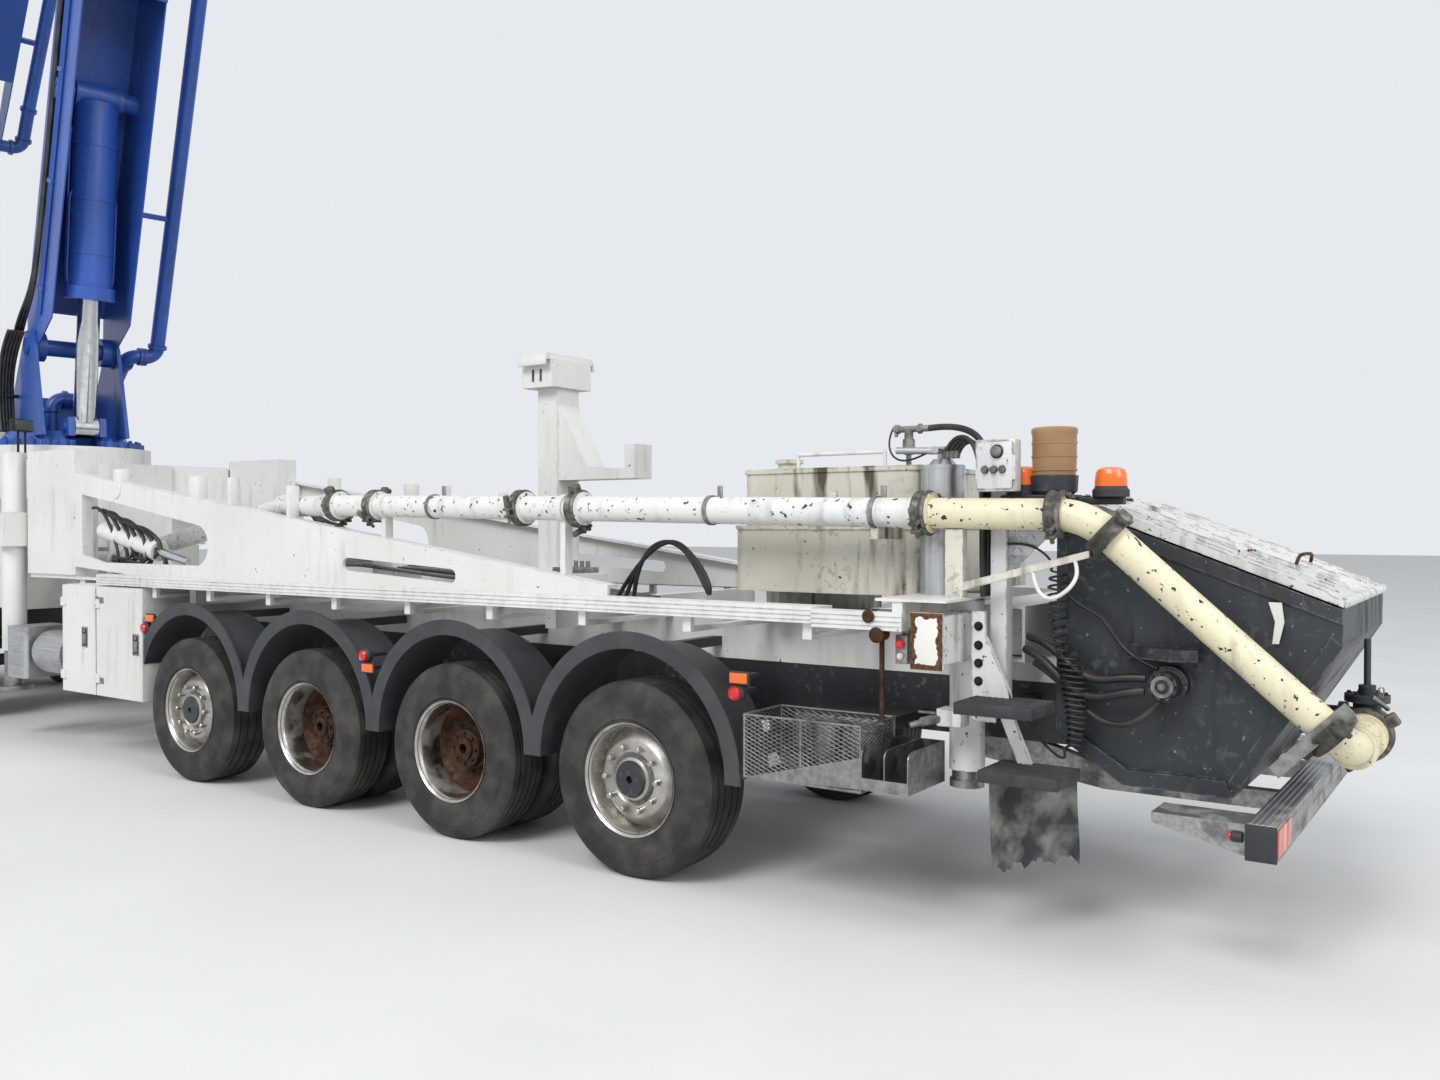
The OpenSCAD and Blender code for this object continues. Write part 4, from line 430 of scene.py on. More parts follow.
def rod(name, material, start, end, radius, sides=16, bevel=0.25):
    fresh()
    start, end = Vector(start), Vector(end)
    turn = (end - start).to_track_quat("Z", "Y").to_euler()
    bpy.ops.mesh.primitive_cylinder_add(vertices=sides, radius=radius, depth=(end - start).length,
                                        location=(start + end) / 2, rotation=turn)
    bpy.ops.object.mode_set(mode="EDIT")
    bpy.ops.mesh.select_mode(type="EDGE")
    bpy.ops.mesh.select_all(action="DESELECT")
    bpy.ops.mesh.edges_select_sharp(sharpness=math.radians(75))
    bpy.ops.mesh.bevel(offset=radius * bevel, segments=1)
    bpy.ops.object.mode_set(mode="OBJECT")
    piece = settle(name, material)
    bpy.ops.object.shade_smooth_by_angle(angle=math.radians(40))
    return piece


# %% [markdown]
# A hose is a smooth curve with a round section, turned into a mesh. Hydraulic hoses are stiff:
# they leave their fitting straight and then bend in one wide arc, so few points are enough. A
# plate is an outline in one plane that is filled and extruded.

# %% Hoses and plates
def hose(name, material, points, radius, steps=5, ring=3):
    fresh()
    data = bpy.data.curves.new(name, "CURVE")
    data.dimensions = "3D"
    data.bevel_depth = radius
    data.bevel_resolution = ring
    data.use_fill_caps = True
    spline = data.splines.new("NURBS")
    spline.points.add(len(points) - 1)
    for place, point in zip(spline.points, points):
        place.co = (*point, 1)
    spline.use_endpoint_u = True
    spline.order_u = min(4, len(points))
    spline.resolution_u = steps
    line = bpy.data.objects.new(name, data)
    bpy.context.collection.objects.link(line)
    line.select_set(True)
    bpy.context.view_layer.objects.active = line
    bpy.ops.object.convert(target="MESH")
    piece = settle(name, material)
    bpy.ops.object.shade_smooth_by_angle(angle=math.radians(50))
    return piece


def plate(name, material, outline, thick, bevel=0.002):
    """A flat outline of (x, y, z) corners in one plane, made thick on both sides."""
    fresh()
    data = bpy.data.meshes.new(name)
    data.from_pydata([Vector(p) for p in outline], [], [list(range(len(outline)))])
    flat = bpy.data.objects.new(name, data)
    bpy.context.collection.objects.link(flat)
    flat.select_set(True)
    bpy.context.view_layer.objects.active = flat
    wall = flat.modifiers.new("wall", "SOLIDIFY")
    wall.thickness = thick
    wall.offset = 0
    edge = flat.modifiers.new("edge", "BEVEL")
    edge.width = bevel
    edge.segments = 1
    for modifier in ("wall", "edge"):
        bpy.ops.object.modifier_apply(modifier=modifier)
    bpy.ops.object.mode_set(mode="EDIT")
    bpy.ops.mesh.select_all(action="SELECT")
    bpy.ops.mesh.normals_make_consistent(inside=False)
    bpy.ops.object.mode_set(mode="OBJECT")
    return settle(name, material)


# %% [markdown]
# A hexagon bolt head on its washer is drawn once and copied to every place where the photo
# shows one.

# %% Bolts
def bolts(name, material, places, along, radius):
    """Bolt heads at places, looking along one direction or along one direction each."""
    head = rod("head", material, (0, 0, 0), (0, 0, radius * 1.3), radius, sides=6, bevel=0.12)
    washer = rod("washer", material, (0, 0, -0.002), (0, 0, radius * 0.25), radius * 1.5, sides=14, bevel=0.08)
    pattern = join([head, washer], "bolt")
    directions = along if isinstance(along, list) else [along] * len(places)
    copies = [copy_to(pattern, name, aim(place, way)) for place, way in zip(places, directions)]
    bpy.data.objects.remove(pattern)
    return join(copies, name)


# %% [markdown]
# ## Tyres
# A truck tyre is moulded, with straight ribs round the tread, grooves between them and short
# lugs at each shoulder. The section is turned, and every second face of the shoulder rows is
# pushed in to make the lugs.

# %% Tyre
TYRE_R = 0.515
RIM_R = 0.298
TYRE_SIDES = 84


def tyre(name, width):
    half = width / 2
    groove = 0.012
    profile = [(RIM_R - 0.018, half - 0.020), (RIM_R + 0.012, half - 0.014), (RIM_R + 0.020, half - 0.004),
               (RIM_R + 0.028, half - 0.006), (RIM_R + 0.05, half - 0.003), (RIM_R + 0.10, half),
               (RIM_R + 0.135, half - 0.001), (RIM_R + 0.140, half - 0.005), (TYRE_R - 0.05, half - 0.007),
               (TYRE_R - 0.022, half - 0.022), (TYRE_R - 0.004, half - 0.040)]
    for centre in (0.62, 0.22):
        x = centre * (half - 0.04)
        profile += [(TYRE_R, x + 0.007), (TYRE_R - groove, x + 0.005), (TYRE_R - groove, x - 0.005),
                    (TYRE_R, x - 0.007)]
    profile += [(r, -h) for r, h in reversed(profile)]
    piece = turned(name, TYRE, profile, TYRE_SIDES, smooth=28)
    step = 2 * math.pi / TYRE_SIDES
    for face in piece.data.polygons:
        x, y, z = face.center
        around = int(math.floor(math.atan2(y, x) / step + 0.25))
        face.select = math.hypot(x, y) > TYRE_R - 0.016 and abs(z) > half - 0.045 and around % 2 == 0
    bpy.ops.object.mode_set(mode="EDIT")
    bpy.ops.mesh.select_mode(type="FACE")
    bpy.ops.mesh.extrude_region_shrink_fatten(TRANSFORM_OT_shrink_fatten={"value": -0.008})
    bpy.ops.object.mode_set(mode="OBJECT")
    return piece


# %% [markdown]
# ## Rims
# The single wheels carry bright forged rims with ten round nuts standing on a raised disc. The
# driven pairs show the deep side of the dish and a rusty hub.

# %% Rims
RIM_SIDES = 64


def nut_ring(name, material, count, ring_r, nut_r, length, height):
    half = length / 2
    nuts = [rod(name, material, (a, b, height - half), (a, b, height + half), nut_r, sides=12)
            for a, b in circle(count, ring_r)]
    return join(nuts, name)


def outer_rim(width):
    """The flanged barrel that the tyre sits on, open through the middle."""
    half = width / 2
    return [(0.270, half - 0.045), (0.280, half - 0.022), (RIM_R, half - 0.010), (RIM_R, half - 0.020),
            (0.284, half - 0.032), (0.278, -half + 0.032), (RIM_R, -half + 0.020), (RIM_R, -half + 0.010),
            (0.270, -half + 0.022), (0.264, -half + 0.045)]


SINGLE_W, TWIN_W, TWIN_GAP, HALF_W = 0.365, 0.300, 0.035, 1.250
single_face = HALF_W - SINGLE_W / 2
disc = SINGLE_W / 2 - 0.052
single_disc = [(0.268, disc - 0.075), (0.250, disc - 0.058), (0.215, disc - 0.012), (0.196, disc),
               (0.140, disc), (0.118, disc - 0.022), (0.112, disc + 0.012), (0.098, disc + 0.020),
               (0.030, disc + 0.022), (0.030, disc - 0.115), (0.120, disc - 0.100), (0.262, disc - 0.105)]
twin_disc = [(0.268, -0.028), (0.235, -0.050), (0.200, -0.118), (0.140, -0.122), (0.132, -0.040),
             (0.118, -0.030), (0.112, 0.010), (0.070, 0.016), (0.066, 0.030), (0.030, 0.032),
             (0.030, -0.145), (0.262, -0.055)]

# %% [markdown]
# ## Six axles of wheels
# Axles 4 and 5 carry pairs. Each wheel turns on its own body, so each gets its own tyre, rim
# and hub, copied from one pattern of each kind.

# %% Wheels
AXLE_X = (10.40, 8.70, 4.05, 2.70, 1.35, 0.0)
TWIN_AXLES = (4, 5)
NUT_CIRCLE_R = 0.168
tyre_single = tyre("tyre_single", SINGLE_W)
tyre_twin = tyre("tyre_twin", TWIN_W)
rim_single = join([turned("rim_s", RIM_STEEL, outer_rim(SINGLE_W), RIM_SIDES),
                   turned("disc_s", RIM_STEEL, single_disc, RIM_SIDES)], "rim_single")
nuts_single = nut_ring("nuts_single", RIM_STEEL, 10, NUT_CIRCLE_R, 0.016, 0.05, disc + 0.016)
rim_twin = turned("rim_twin", RIM_STEEL, outer_rim(TWIN_W), RIM_SIDES)
disc_twin = turned("disc_twin", RUSTY, twin_disc, RIM_SIDES)
nuts_twin = nut_ring("nuts_twin", RUSTY, 10, NUT_CIRCLE_R, 0.017, 0.05, -0.105)
cap_single = turned("cap_single", FRAME_GREY, [(0.098, disc + 0.021), (0.09, disc + 0.034), (0.02, disc + 0.036),
                                               (0.02, disc + 0.021)], 48)
hub_twin = nut_ring("hub_twin", RUSTY, 8, 0.090, 0.009, 0.02, 0.020)
for axle, x in enumerate(AXLE_X, start=1):
    for side, sign in (("left", 1), ("right", -1)):
        node = f"wheel_{axle}_{side}"
        stand = Matrix.Translation((x, 0, TYRE_R)) @ Matrix.Rotation(-sign * math.pi / 2, 4, "X")
        if axle in TWIN_AXLES:
            offsets = [HALF_W - TWIN_W / 2, HALF_W - 1.5 * TWIN_W - TWIN_GAP]
            tyres = [copy_to(tyre_twin, node + "_tyre", stand @ Matrix.Translation((0, 0, o))) for o in offsets]
            rims = [copy_to(rim_twin, node + "_rim", stand @ Matrix.Translation((0, 0, o))) for o in offsets]
            face = stand @ Matrix.Translation((0, 0, offsets[0]))
            hub = [copy_to(part, node + "_hub", face) for part in (disc_twin, nuts_twin, hub_twin)]
        else:
            face = stand @ Matrix.Translation((0, 0, single_face))
            tyres = [copy_to(tyre_single, node + "_tyre", face)]
            rims = [copy_to(rim_single, node + "_rim", face)]
            hub = [copy_to(nuts_single, node + "_nuts", face), copy_to(cap_single, node + "_cap", face)]
        done(join(tyres, node + "_tyre"), node, "tyre_rubber", node)
        done(join(rims, node + "_rim"), node, "aluminium")
        done(join(hub, node + "_hub"), node, "iron")
for pattern in (tyre_single, tyre_twin, rim_single, nuts_single, rim_twin, disc_twin, nuts_twin, cap_single,
                hub_twin):
    bpy.data.objects.remove(pattern)

# %% [markdown]
# ## Delivery line couplings
# Lengths of pipe are held end to end by two-bolt clamps: a grooved ring in two halves, a hinge
# on one side and an over-centre lever on the other. Cement has caked them grey.

# %% Coupling
LINE_Y = 0.985


def line_z(x):
    """Height of the deck pipe, which falls gently to the rear."""
    return 1.890 + (x + 1.640) * 0.080 / 4.390


def coupling(name, place, along, turn=0.0, size=1.0):
    ring_r = [(0.086, -0.034), (0.100, -0.034), (0.107, -0.022), (0.100, -0.008), (0.097, 0.0), (0.100, 0.008),
              (0.107, 0.022), (0.100, 0.034), (0.086, 0.034)]
    parts = [turned("shell", CLAMP, ring_r, 40),
             block("hinge", CLAMP, (0.098, -0.026, -0.030), (0.140, 0.026, 0.030), 0.008),
             rod("hinge_pin", CLAMP, (0.126, 0, -0.042), (0.126, 0, 0.042), 0.011),
             block("ear_a", CLAMP, (-0.142, 0.012, -0.024), (-0.096, 0.030, 0.024), 0.006),
             block("ear_b", CLAMP, (-0.142, -0.030, -0.024), (-0.096, -0.012, 0.024), 0.006),
             rod("lever", CLAMP, (-0.124, -0.055, 0), (-0.124, 0.060, 0), 0.010),
             block("handle", CLAMP, (-0.136, -0.100, -0.012), (-0.104, -0.030, 0.012), 0.006)]
    whole = join(parts, name)
    return placed(whole, aim(place, along) @ Matrix.Rotation(turn, 4, "Z") @ Matrix.Scale(size, 4))


clamps = [coupling("clamp", (x, LINE_Y, line_z(x)), (1, 0, 0), turn)
          for x, turn in ((-1.55, 2.6), (0.56, 1.2), (1.00, 2.9), (2.30, 2.2), (2.70, 1.0))]
fall = Vector((-0.976, -0.215, -0.928)).normalized()
clamps += [coupling("clamp", (-2.169, LINE_Y, line_z(-2.169)), (1, 0, 0), 2.5),
           coupling("clamp", (-2.3766, 0.966, 1.7957), fall, 2.2),
           coupling("clamp", (-3.1926, 0.786, 1.0197), fall, 2.8, 1.05)]
done(join(clamps, "line_clamps"), "truck", "bare_steel")

# %% [markdown]
# Thin strap rings steady the long straight, each on a small upright tab, and two wider white
# ones close the pipe's saddles. They are bands with a rectangular section, so they are turned.

# %% Pipe straps
straps = []
for x in (-1.30, -0.35, 1.75):
    strap = turned("strap", STEEL, [(0.071, -0.012), (0.078, -0.012), (0.078, 0.012), (0.071, 0.012)], 36)
    straps.append(placed(strap, aim((x, LINE_Y, line_z(x)), (1, 0, 0.018))))
    top = line_z(x) + 0.070
    straps.append(block("strap_tab", STEEL, (x - 0.015, 0.905, top - 0.06), (x + 0.015, 0.915, top + 0.06), 0.003))
for x in (0.66, 2.20):
    saddle = turned("saddle_strap", WHITE, [(0.071, -0.022), (0.080, -0.022), (0.080, 0.022), (0.071, 0.022)], 36)
    straps.append(placed(saddle, aim((x, LINE_Y, line_z(x)), (1, 0, 0.018))))
done(join(straps, "pipe_straps"), "truck", "bare_steel")

# %% [markdown]
# ## Basket, tray and steps
# The tool basket is welded from expanded metal, so one sees through it. The CAD solid has
# plain walls there. A copy of it loses those walls, keeps everything else, and gets a finish
# for each region; diamonds of flattened strand take the walls' place.

# %% Tray without its basket walls
BASKET_LOW, BASKET_HIGH = Vector((-1.360, 0.900, 0.620)), Vector((-0.720, 1.250, 0.930))


def inside(point, low, high, slack=0.0015):
    return all(a - slack <= v <= b + slack for v, a, b in zip(point, low, high))


def region(point):
    """The number of a place's finish: 0 steel, 1 black tread, 2 worn white, 3 frame grey."""
    x, y, z = point
    if x < -1.80 and y > 0.955 and (1.028 <= z <= 1.072 or 0.748 <= z <= 0.792):
        return 1
    if -2.07 < x < -1.78 and 0.96 < y < 1.01 and z > 0.785:
        return 2
    if y < 0.90 or x < -1.60:
        return 3
    return 0


fresh()
trays = copy_to(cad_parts["side_trays"], "trays_and_steps", to_frame.inverted())
trays.select_set(True)
bpy.context.view_layer.objects.active = trays
bpy.ops.object.mode_set(mode="EDIT")
bpy.ops.mesh.select_all(action="SELECT")
bpy.ops.mesh.remove_doubles(threshold=0.0001)
bpy.ops.mesh.select_all(action="DESELECT")
bpy.ops.object.mode_set(mode="OBJECT")
trays.data.materials.clear()
for finish in (STEEL, TREAD, WORN_WHITE, FRAME_GREY):
    trays.data.materials.append(finish)
for face in trays.data.polygons:
    corners = [trays.data.vertices[i].co for i in face.vertices]
    face.select = all(inside(c, BASKET_LOW, BASKET_HIGH) for c in corners)
    face.material_index = region(face.center)
bpy.ops.object.mode_set(mode="EDIT")
bpy.ops.mesh.select_mode(type="FACE")
bpy.ops.mesh.delete(type="FACE")
bpy.ops.object.mode_set(mode="OBJECT")
done(trays, "truck", "bare_steel", "side_trays")
print("trays kept", len(trays.data.polygons), "faces")

# %% [markdown]
# Expanded metal is slit sheet pulled open, so its holes are diamonds in a regular grid. A grid
# is turned by 45 degrees, stretched to diamonds 48 mm by 20 mm, cut to the wall with bisect, and
# its edges are made into strands by the Wireframe modifier. A picture of mesh would look flat.

# %% Expanded metal
def lattice(name, material, width, height, wide=0.048, tall=0.020, strand=0.0042):
    """A sheet in X and Z with its lower left corner at the origin."""
    fresh()
    cells = 2 * int(max(width / wide, height / tall)) + 4
    bpy.ops.mesh.primitive_grid_add(x_subdivisions=cells, y_subdivisions=cells, size=cells,
                                    rotation=(0, 0, math.pi / 4))
    sheet = settle(name, material)
    half = math.sqrt(0.5)
    sheet.data.transform(Matrix.Rotation(math.pi / 2, 4, "X") @ Matrix.Diagonal(
        (wide / 2 / half, tall / 2 / half, 1, 1)))
    bpy.ops.object.mode_set(mode="EDIT")
    for place, normal in (((-width / 2, 0, 0), (-1, 0, 0)), ((width / 2, 0, 0), (1, 0, 0)),
                          ((0, 0, -height / 2), (0, 0, -1)), ((0, 0, height / 2), (0, 0, 1))):
        bpy.ops.mesh.select_all(action="SELECT")
        bpy.ops.mesh.bisect(plane_co=place, plane_no=normal, clear_outer=True)
    bpy.ops.object.mode_set(mode="OBJECT")
    wire = sheet.modifiers.new("strands", "WIREFRAME")
    wire.thickness = strand
    bpy.ops.object.modifier_apply(modifier="strands")
    return placed(sheet, Matrix.Translation((width / 2, 0, height / 2)))


x0, y0, z0 = BASKET_LOW
x1, y1, z1 = BASKET_HIGH
long_wall = lattice("long_wall", STEEL, x1 - x0, z1 - z0)
short_wall = lattice("short_wall", STEEL, y1 - y0, z1 - z0)
quarter = Matrix.Rotation(math.pi / 2, 4, "Z")
walls = [copy_to(long_wall, "wall", Matrix.Translation((x0, y, z0))) for y in (y0 + 0.004, y1 - 0.004)]
walls += [copy_to(short_wall, "wall", Matrix.Translation((x, y0, z0)) @ quarter)
          for x in (x0 + 0.004, x1 - 0.004)]
bpy.data.objects.remove(long_wall)
bpy.data.objects.remove(short_wall)
done(join(walls, "basket_mesh"), "truck", "bare_steel")
rims = []
for z in (z0 + 0.006, z1 - 0.006):
    corners = [(x0 + 0.006, y0 + 0.006, z), (x1 - 0.006, y0 + 0.006, z), (x1 - 0.006, y1 - 0.006, z),
               (x0 + 0.006, y1 - 0.006, z)]
    rims += [rod("rim_rod", STEEL, a, b, 0.006, sides=10) for a, b in zip(corners, corners[1:] + corners[:1])]
floor_low = (x0 + 0.002, y0 + 0.002, z0)
rims.append(block("basket_floor", STEEL, floor_low, (x1 - 0.002, y1 - 0.002, z0 + 0.004), 0.001))
for x in (x0 + 0.006, -1.04, x1 - 0.006):
    rims += [rod("rim_post", STEEL, (x, y, z0 + 0.002), (x, y, z1 - 0.002), 0.006, sides=10)
             for y in (y0 + 0.006, y1 - 0.006)]
rims.append(block("carrier", STEEL, (-1.30, y0 - 0.004, 0.84), (-0.80, y0 + 0.003, 0.90), 0.002))
done(join(rims, "basket_frame"), "truck", "bare_steel")

# %% [markdown]
# Two pails stand at the back of the basket. A pail is rolled sheet with a thick rim, so its
# profile goes up the outside, over the rim and down the inside.

# %% Pails in the basket
PAIL = [(0.070, 0.0), (0.084, 0.24), (0.088, 0.245), (0.088, 0.258), (0.080, 0.258), (0.066, 0.010),
        (0.002, 0.010), (0.002, 0.0)]
bins = [placed(turned("bin", STEEL, PAIL, 32), Matrix.Translation((x, y, z0 + 0.006)))
        for x, y in ((-1.26, 1.02), (-1.06, 1.00))]
done(join(bins, "basket_bins"), "truck", "bare_steel")

# %% [markdown]
# The two rear steps are black gratings with a deep edge on three sides, which keeps a boot from
# sliding off. The open mesh could be a pattern in the material, but one sees the ground through
# it, so it is the same cut grid as the basket's walls, laid flat.

# %% Step treads
treads = []
for x_front, top in ((-1.81, 1.07), (-1.92, 0.79)):
    grate = lattice("grate", TREAD, 0.336, 0.286, 0.030, 0.030, 0.006)
    grate.data.transform(Matrix.Rotation(-math.pi / 2, 4, "X"))
    treads.append(placed(grate, Matrix.Translation((x_front - 0.338, 0.962, top + 0.002))))
    for back, inner, front in ((-0.340, 1.248, 0), (-0.004, 0.960, 0.003), (-0.343, 0.960, -0.338)):
        treads.append(block("step_edge", TREAD, (x_front + back, inner, top - 0.045),
                            (x_front + front, 1.254, top + 0.006), 0.002))
done(join(treads, "step_treads"), "truck", "frame_paint")
BRACKET_BOLT_X, BRACKET_BOLT_Y = -1.817, 1.000
places = [(BRACKET_BOLT_X, BRACKET_BOLT_Y, z) for z in (1.385, 1.300, 1.220, 1.140)]
done(bolts("bracket_bolts", BLACK_BOLT, places, (0, 1, 0), 0.014), "truck", "bare_steel")

# %% [markdown]
# ## Mud flaps
# Rubber sheets hang under the lower steps. They have taken a curve and a thick skin of dried
# cement, and their lower edge is torn. Cloth simulation would fold them too softly, so a grid
# is bowed and rippled by a few sine waves and given its thickness by Solidify.

# %% Mud flaps
FLAP_TURN = math.radians(-121)
MIRRORED = Matrix.Diagonal((1, -1, 1, 1))


def mud_flap(name, width=0.470, low=0.340, high=0.7497, columns=28, rows=24):
    fresh()
    bpy.ops.mesh.primitive_grid_add(x_subdivisions=columns, y_subdivisions=rows, size=1)
    sheet = settle(name, FLAP)
    for vertex in sheet.data.vertices:
        u, v = vertex.co.x + 0.5, 0.5 - vertex.co.y
        torn = 0.018 * math.sin(u * 23) + 0.012 * math.sin(u * 61 + 1) if v > 0.96 else 0
        bow = 0.055 * math.sin(math.pi * u) * v ** 1.4 - 0.02 * v
        ripple = 0.006 * math.sin(u * 19 + v * 6) * v
        vertex.co = (u * width, bow + ripple + 0.006, high - v * (high - low - 0.02) + torn)
    wall = sheet.modifiers.new("wall", "SOLIDIFY")
    wall.thickness = 0.010
    wall.offset = 0
    bpy.ops.object.modifier_apply(modifier="wall")
    bpy.ops.object.shade_smooth_by_angle(angle=math.radians(40))
    return sheet


left_flap = placed(mud_flap("flap"), Matrix.Translation((-1.950, 1.190, 0)) @ Matrix.Rotation(FLAP_TURN, 4, "Z"))
right_flap = copy_to(left_flap, "flap", MIRRORED)
done(join([left_flap, right_flap], "mud_flaps"), "truck", "tyre_rubber", "mudflaps")

# %% [markdown]
# ## Lamps, reflectors, latches
# Side markers stand in pairs on the fenders: a rectangular amber reflector on a plate and a
# round red lamp in a black housing, each on its own arm. The left ones are drawn, and the right
# ones are a mirrored copy whose normals are turned back.

# %% Side markers
SIDE_Y = 1.250


def marker(place, lens, size):
    x, y, z = place
    w, h = size[0] / 2, size[1] / 2
    rim = 0.008
    return [block("plate", TRIM, (x - w - rim, y - 0.012, z - h - rim), (x + w + rim, y + 0.003, z + h + rim)),
            block("lens", lens, (x - w, y + 0.001, z - h), (x + w, y + 0.012, z + h), 0.005)]


def round_lamp(place, lens, radius):
    x, y, z = place
    return [rod("housing", TRIM, (x, y - 0.035, z), (x, y + 0.014, z), radius * 1.3, sides=28),
            rod("lens", lens, (x, y + 0.012, z), (x, y + 0.030, z), radius, sides=28, bevel=0.4)]


markers = []
for x, z in ((4.534, 1.154), (2.062, 0.956), (-0.698, 1.097)):
    # The amber reflector's glow is painted light; it holds no lamp.
    markers += marker((x, SIDE_Y, z), AMBER_LENS, (0.10, 0.05))
    markers.append(block("arm", TRIM, (x - 0.02, 1.10, z - 0.012), (x + 0.02, 1.245, z + 0.012), 0.003))
for x, z in ((4.617, 1.077), (2.105, 1.030), (-0.674, 1.023)):
    markers += round_lamp((x, 1.235, z), RED_LENS, 0.034)
    markers.append(block("arm", TRIM, (x - 0.012, 1.08, z - 0.012), (x + 0.012, 1.205, z + 0.012), 0.003))
left_markers = join(markers, "markers_left")
right_markers = copy_to(left_markers, "markers_right", MIRRORED)
done(left_markers, "truck", "frame_paint")
done(right_markers, "truck", "frame_paint")

# %% [markdown]
# Each locker door has a paddle latch: a steel tray, a dark well in it, a paddle to pull and a
# lock. They ride on their door, so they swing with it, as the strap hinges do.

# %% Latches and hinges of the locker
def latch(x, y, z):
    return [block("tray", STEEL, (x - 0.045, y - 0.002, z - 0.080), (x + 0.045, y + 0.004, z + 0.080), 0.003),
            block("well", TRIM, (x - 0.034, y + 0.002, z - 0.066), (x + 0.034, y + 0.0055, z + 0.066), 0.001),
            block("paddle", STEEL, (x - 0.026, y + 0.003, z - 0.055), (x + 0.026, y + 0.013, z + 0.030), 0.006),
            rod("lock", STEEL, (x, y + 0.004, z + 0.048), (x, y + 0.012, z + 0.048), 0.012)]


done(join(latch(5.472, SIDE_Y, 0.964), "front_leaf_latch"), "locker_door_front", "bare_steel")
rear_leaf = latch(4.729, SIDE_Y, 0.944)
for z in (0.640, 1.262):
    rear_leaf += [block("strap", STEEL, (5.19, 1.249, z - 0.022), (5.29, 1.256, z + 0.022), 0.002),
                  rod("knuckle", STEEL, (5.285, 1.255, z - 0.03), (5.285, 1.255, z + 0.03), 0.007)]
done(join(rear_leaf, "rear_leaf_latch"), "locker_door_rear", "bare_steel")

# %% [markdown]
# ## Behind the tank
# A square post carries the control box, two beacons and the grease pot of the pump. The gusset
# beside it is cut from tread plate. Its raised bars could be bump, but they catch the light at
# their edges, so each is a short bevelled rod, tilted one way and the other in turn.

# %% Post and brackets
BAR_PITCH = 0.03


def tread_bars(place, size):
    """Raised bars in the triangle below a place, along two sides of one size."""
    bars = []
    for i in range(int(size / BAR_PITCH)):
        for k in range(int(size / BAR_PITCH)):
            if i + k < size / BAR_PITCH - 1:
                x, z = place[0] - i * BAR_PITCH, place[2] - k * BAR_PITCH
                tilt = 0.009 if (i + k) % 2 else -0.009
                bars.append(rod("bar", ALUMINIUM, (x - 0.009, place[1], z - tilt),
                                (x + 0.009, place[1], z + tilt), 0.003, sides=6, bevel=0.4))
    return bars


post = [block("post", WORN_WHITE, (-1.900, 0.800, 1.022), (-1.822, 0.880, 2.150), 0.006),
        block("post_foot", WORN_WHITE, (-1.925, 0.785, 1.018), (-1.800, 0.895, 1.034), 0.003),
        block("box_arm", WORN_WHITE, (-1.890, 0.878, 2.020), (-1.840, 0.925, 2.100), 0.004),
        block("shelf", FRAME_GREY, (-2.200, 0.745, 1.955), (-1.880, 0.905, 1.970), 0.003),
        block("beacon_arm", FRAME_GREY, (-2.400, 0.775, 1.925), (-2.150, 0.825, 1.958), 0.004),
        plate("tread_gusset", ALUMINIUM, [(-1.900, 0.860, 1.860), (-2.170, 0.860, 1.860), (-1.900, 0.860, 1.610)],
              0.004)]
post += tread_bars((-1.925, 0.864, 1.845), 0.21)
done(join(post, "control_post"), "truck", "white_paint")

# %% [markdown]
# The control box is a folded steel case with one large and three small knobs on its lid. It
# could be one cube with inset faces, but separate bevelled blocks keep the lid's shadow line.

# %% Control box
box = [block("case", WORN_WHITE, (-1.985, 0.925, 1.985), (-1.800, 1.005, 2.215), 0.008),
       block("lid", WORN_WHITE, (-1.975, 1.000, 1.995), (-1.810, 1.012, 2.205), 0.005)]
for x, z, r in ((-1.905, 2.160, 0.024), (-1.930, 2.080, 0.014), (-1.890, 2.080, 0.014), (-1.850, 2.080, 0.014)):
    box += [rod("seat", FRAME_GREY, (x, 1.008, z), (x, 1.018, z), r * 1.25, sides=20),
            rod("knob", STEEL, (x, 1.014, z), (x, 1.034, z), r, sides=20)]
done(join(box, "control_box"), "truck", "white_paint")

# %% [markdown]
# A beacon is an amber dome on a black foot, and the grease pot a ribbed plastic jar on the
# pump's grey head. All of them are turned, since a lathe profile gives the true soft shoulder.

# %% Beacons and grease pot
BEACON_FOOT = [(0.078, 0.0), (0.078, 0.030), (0.070, 0.038), (0.066, 0.050), (0.010, 0.050), (0.010, 0.0)]
BEACON_DOME = [(0.068, 0.046), (0.068, 0.070), (0.065, 0.100), (0.058, 0.118), (0.040, 0.128), (0.004, 0.130),
               (0.004, 0.048)]
POT = [(0.092, 0.0), (0.096, 0.060), (0.096, 0.180), (0.100, 0.186), (0.100, 0.205), (0.092, 0.212),
       (0.010, 0.214), (0.010, 0.0)]
POT_HEAD = [(0.080, -0.085), (0.100, -0.070), (0.104, 0.0), (0.010, 0.004), (0.010, -0.085)]
lenses, bases = [], []
for place in ((-1.960, 0.825, 1.970), (-2.340, 0.800, 1.958)):
    base = turned("base", TRIM, BEACON_FOOT, 36)
    dome = turned("dome", AMBER_LENS, BEACON_DOME, 36)
    bases.append(placed(base, Matrix.Translation(place)))
    lenses.append(placed(dome, Matrix.Translation(place)))
done(join(bases, "beacon_bases"), "truck", "frame_paint")
done(join(lenses, "beacon_lenses"), "truck", "frame_paint")
pot = turned("pot", POT_PLASTIC, POT, 40)
pot_base = turned("pot_base", HOPPER_GREY, POT_HEAD, 40)
ribs = [turned("rib", POT_PLASTIC, [(0.090, h), (0.099, h), (0.099, h + 0.008), (0.090, h + 0.008)], 40)
        for h in (0.020, 0.080, 0.140)]
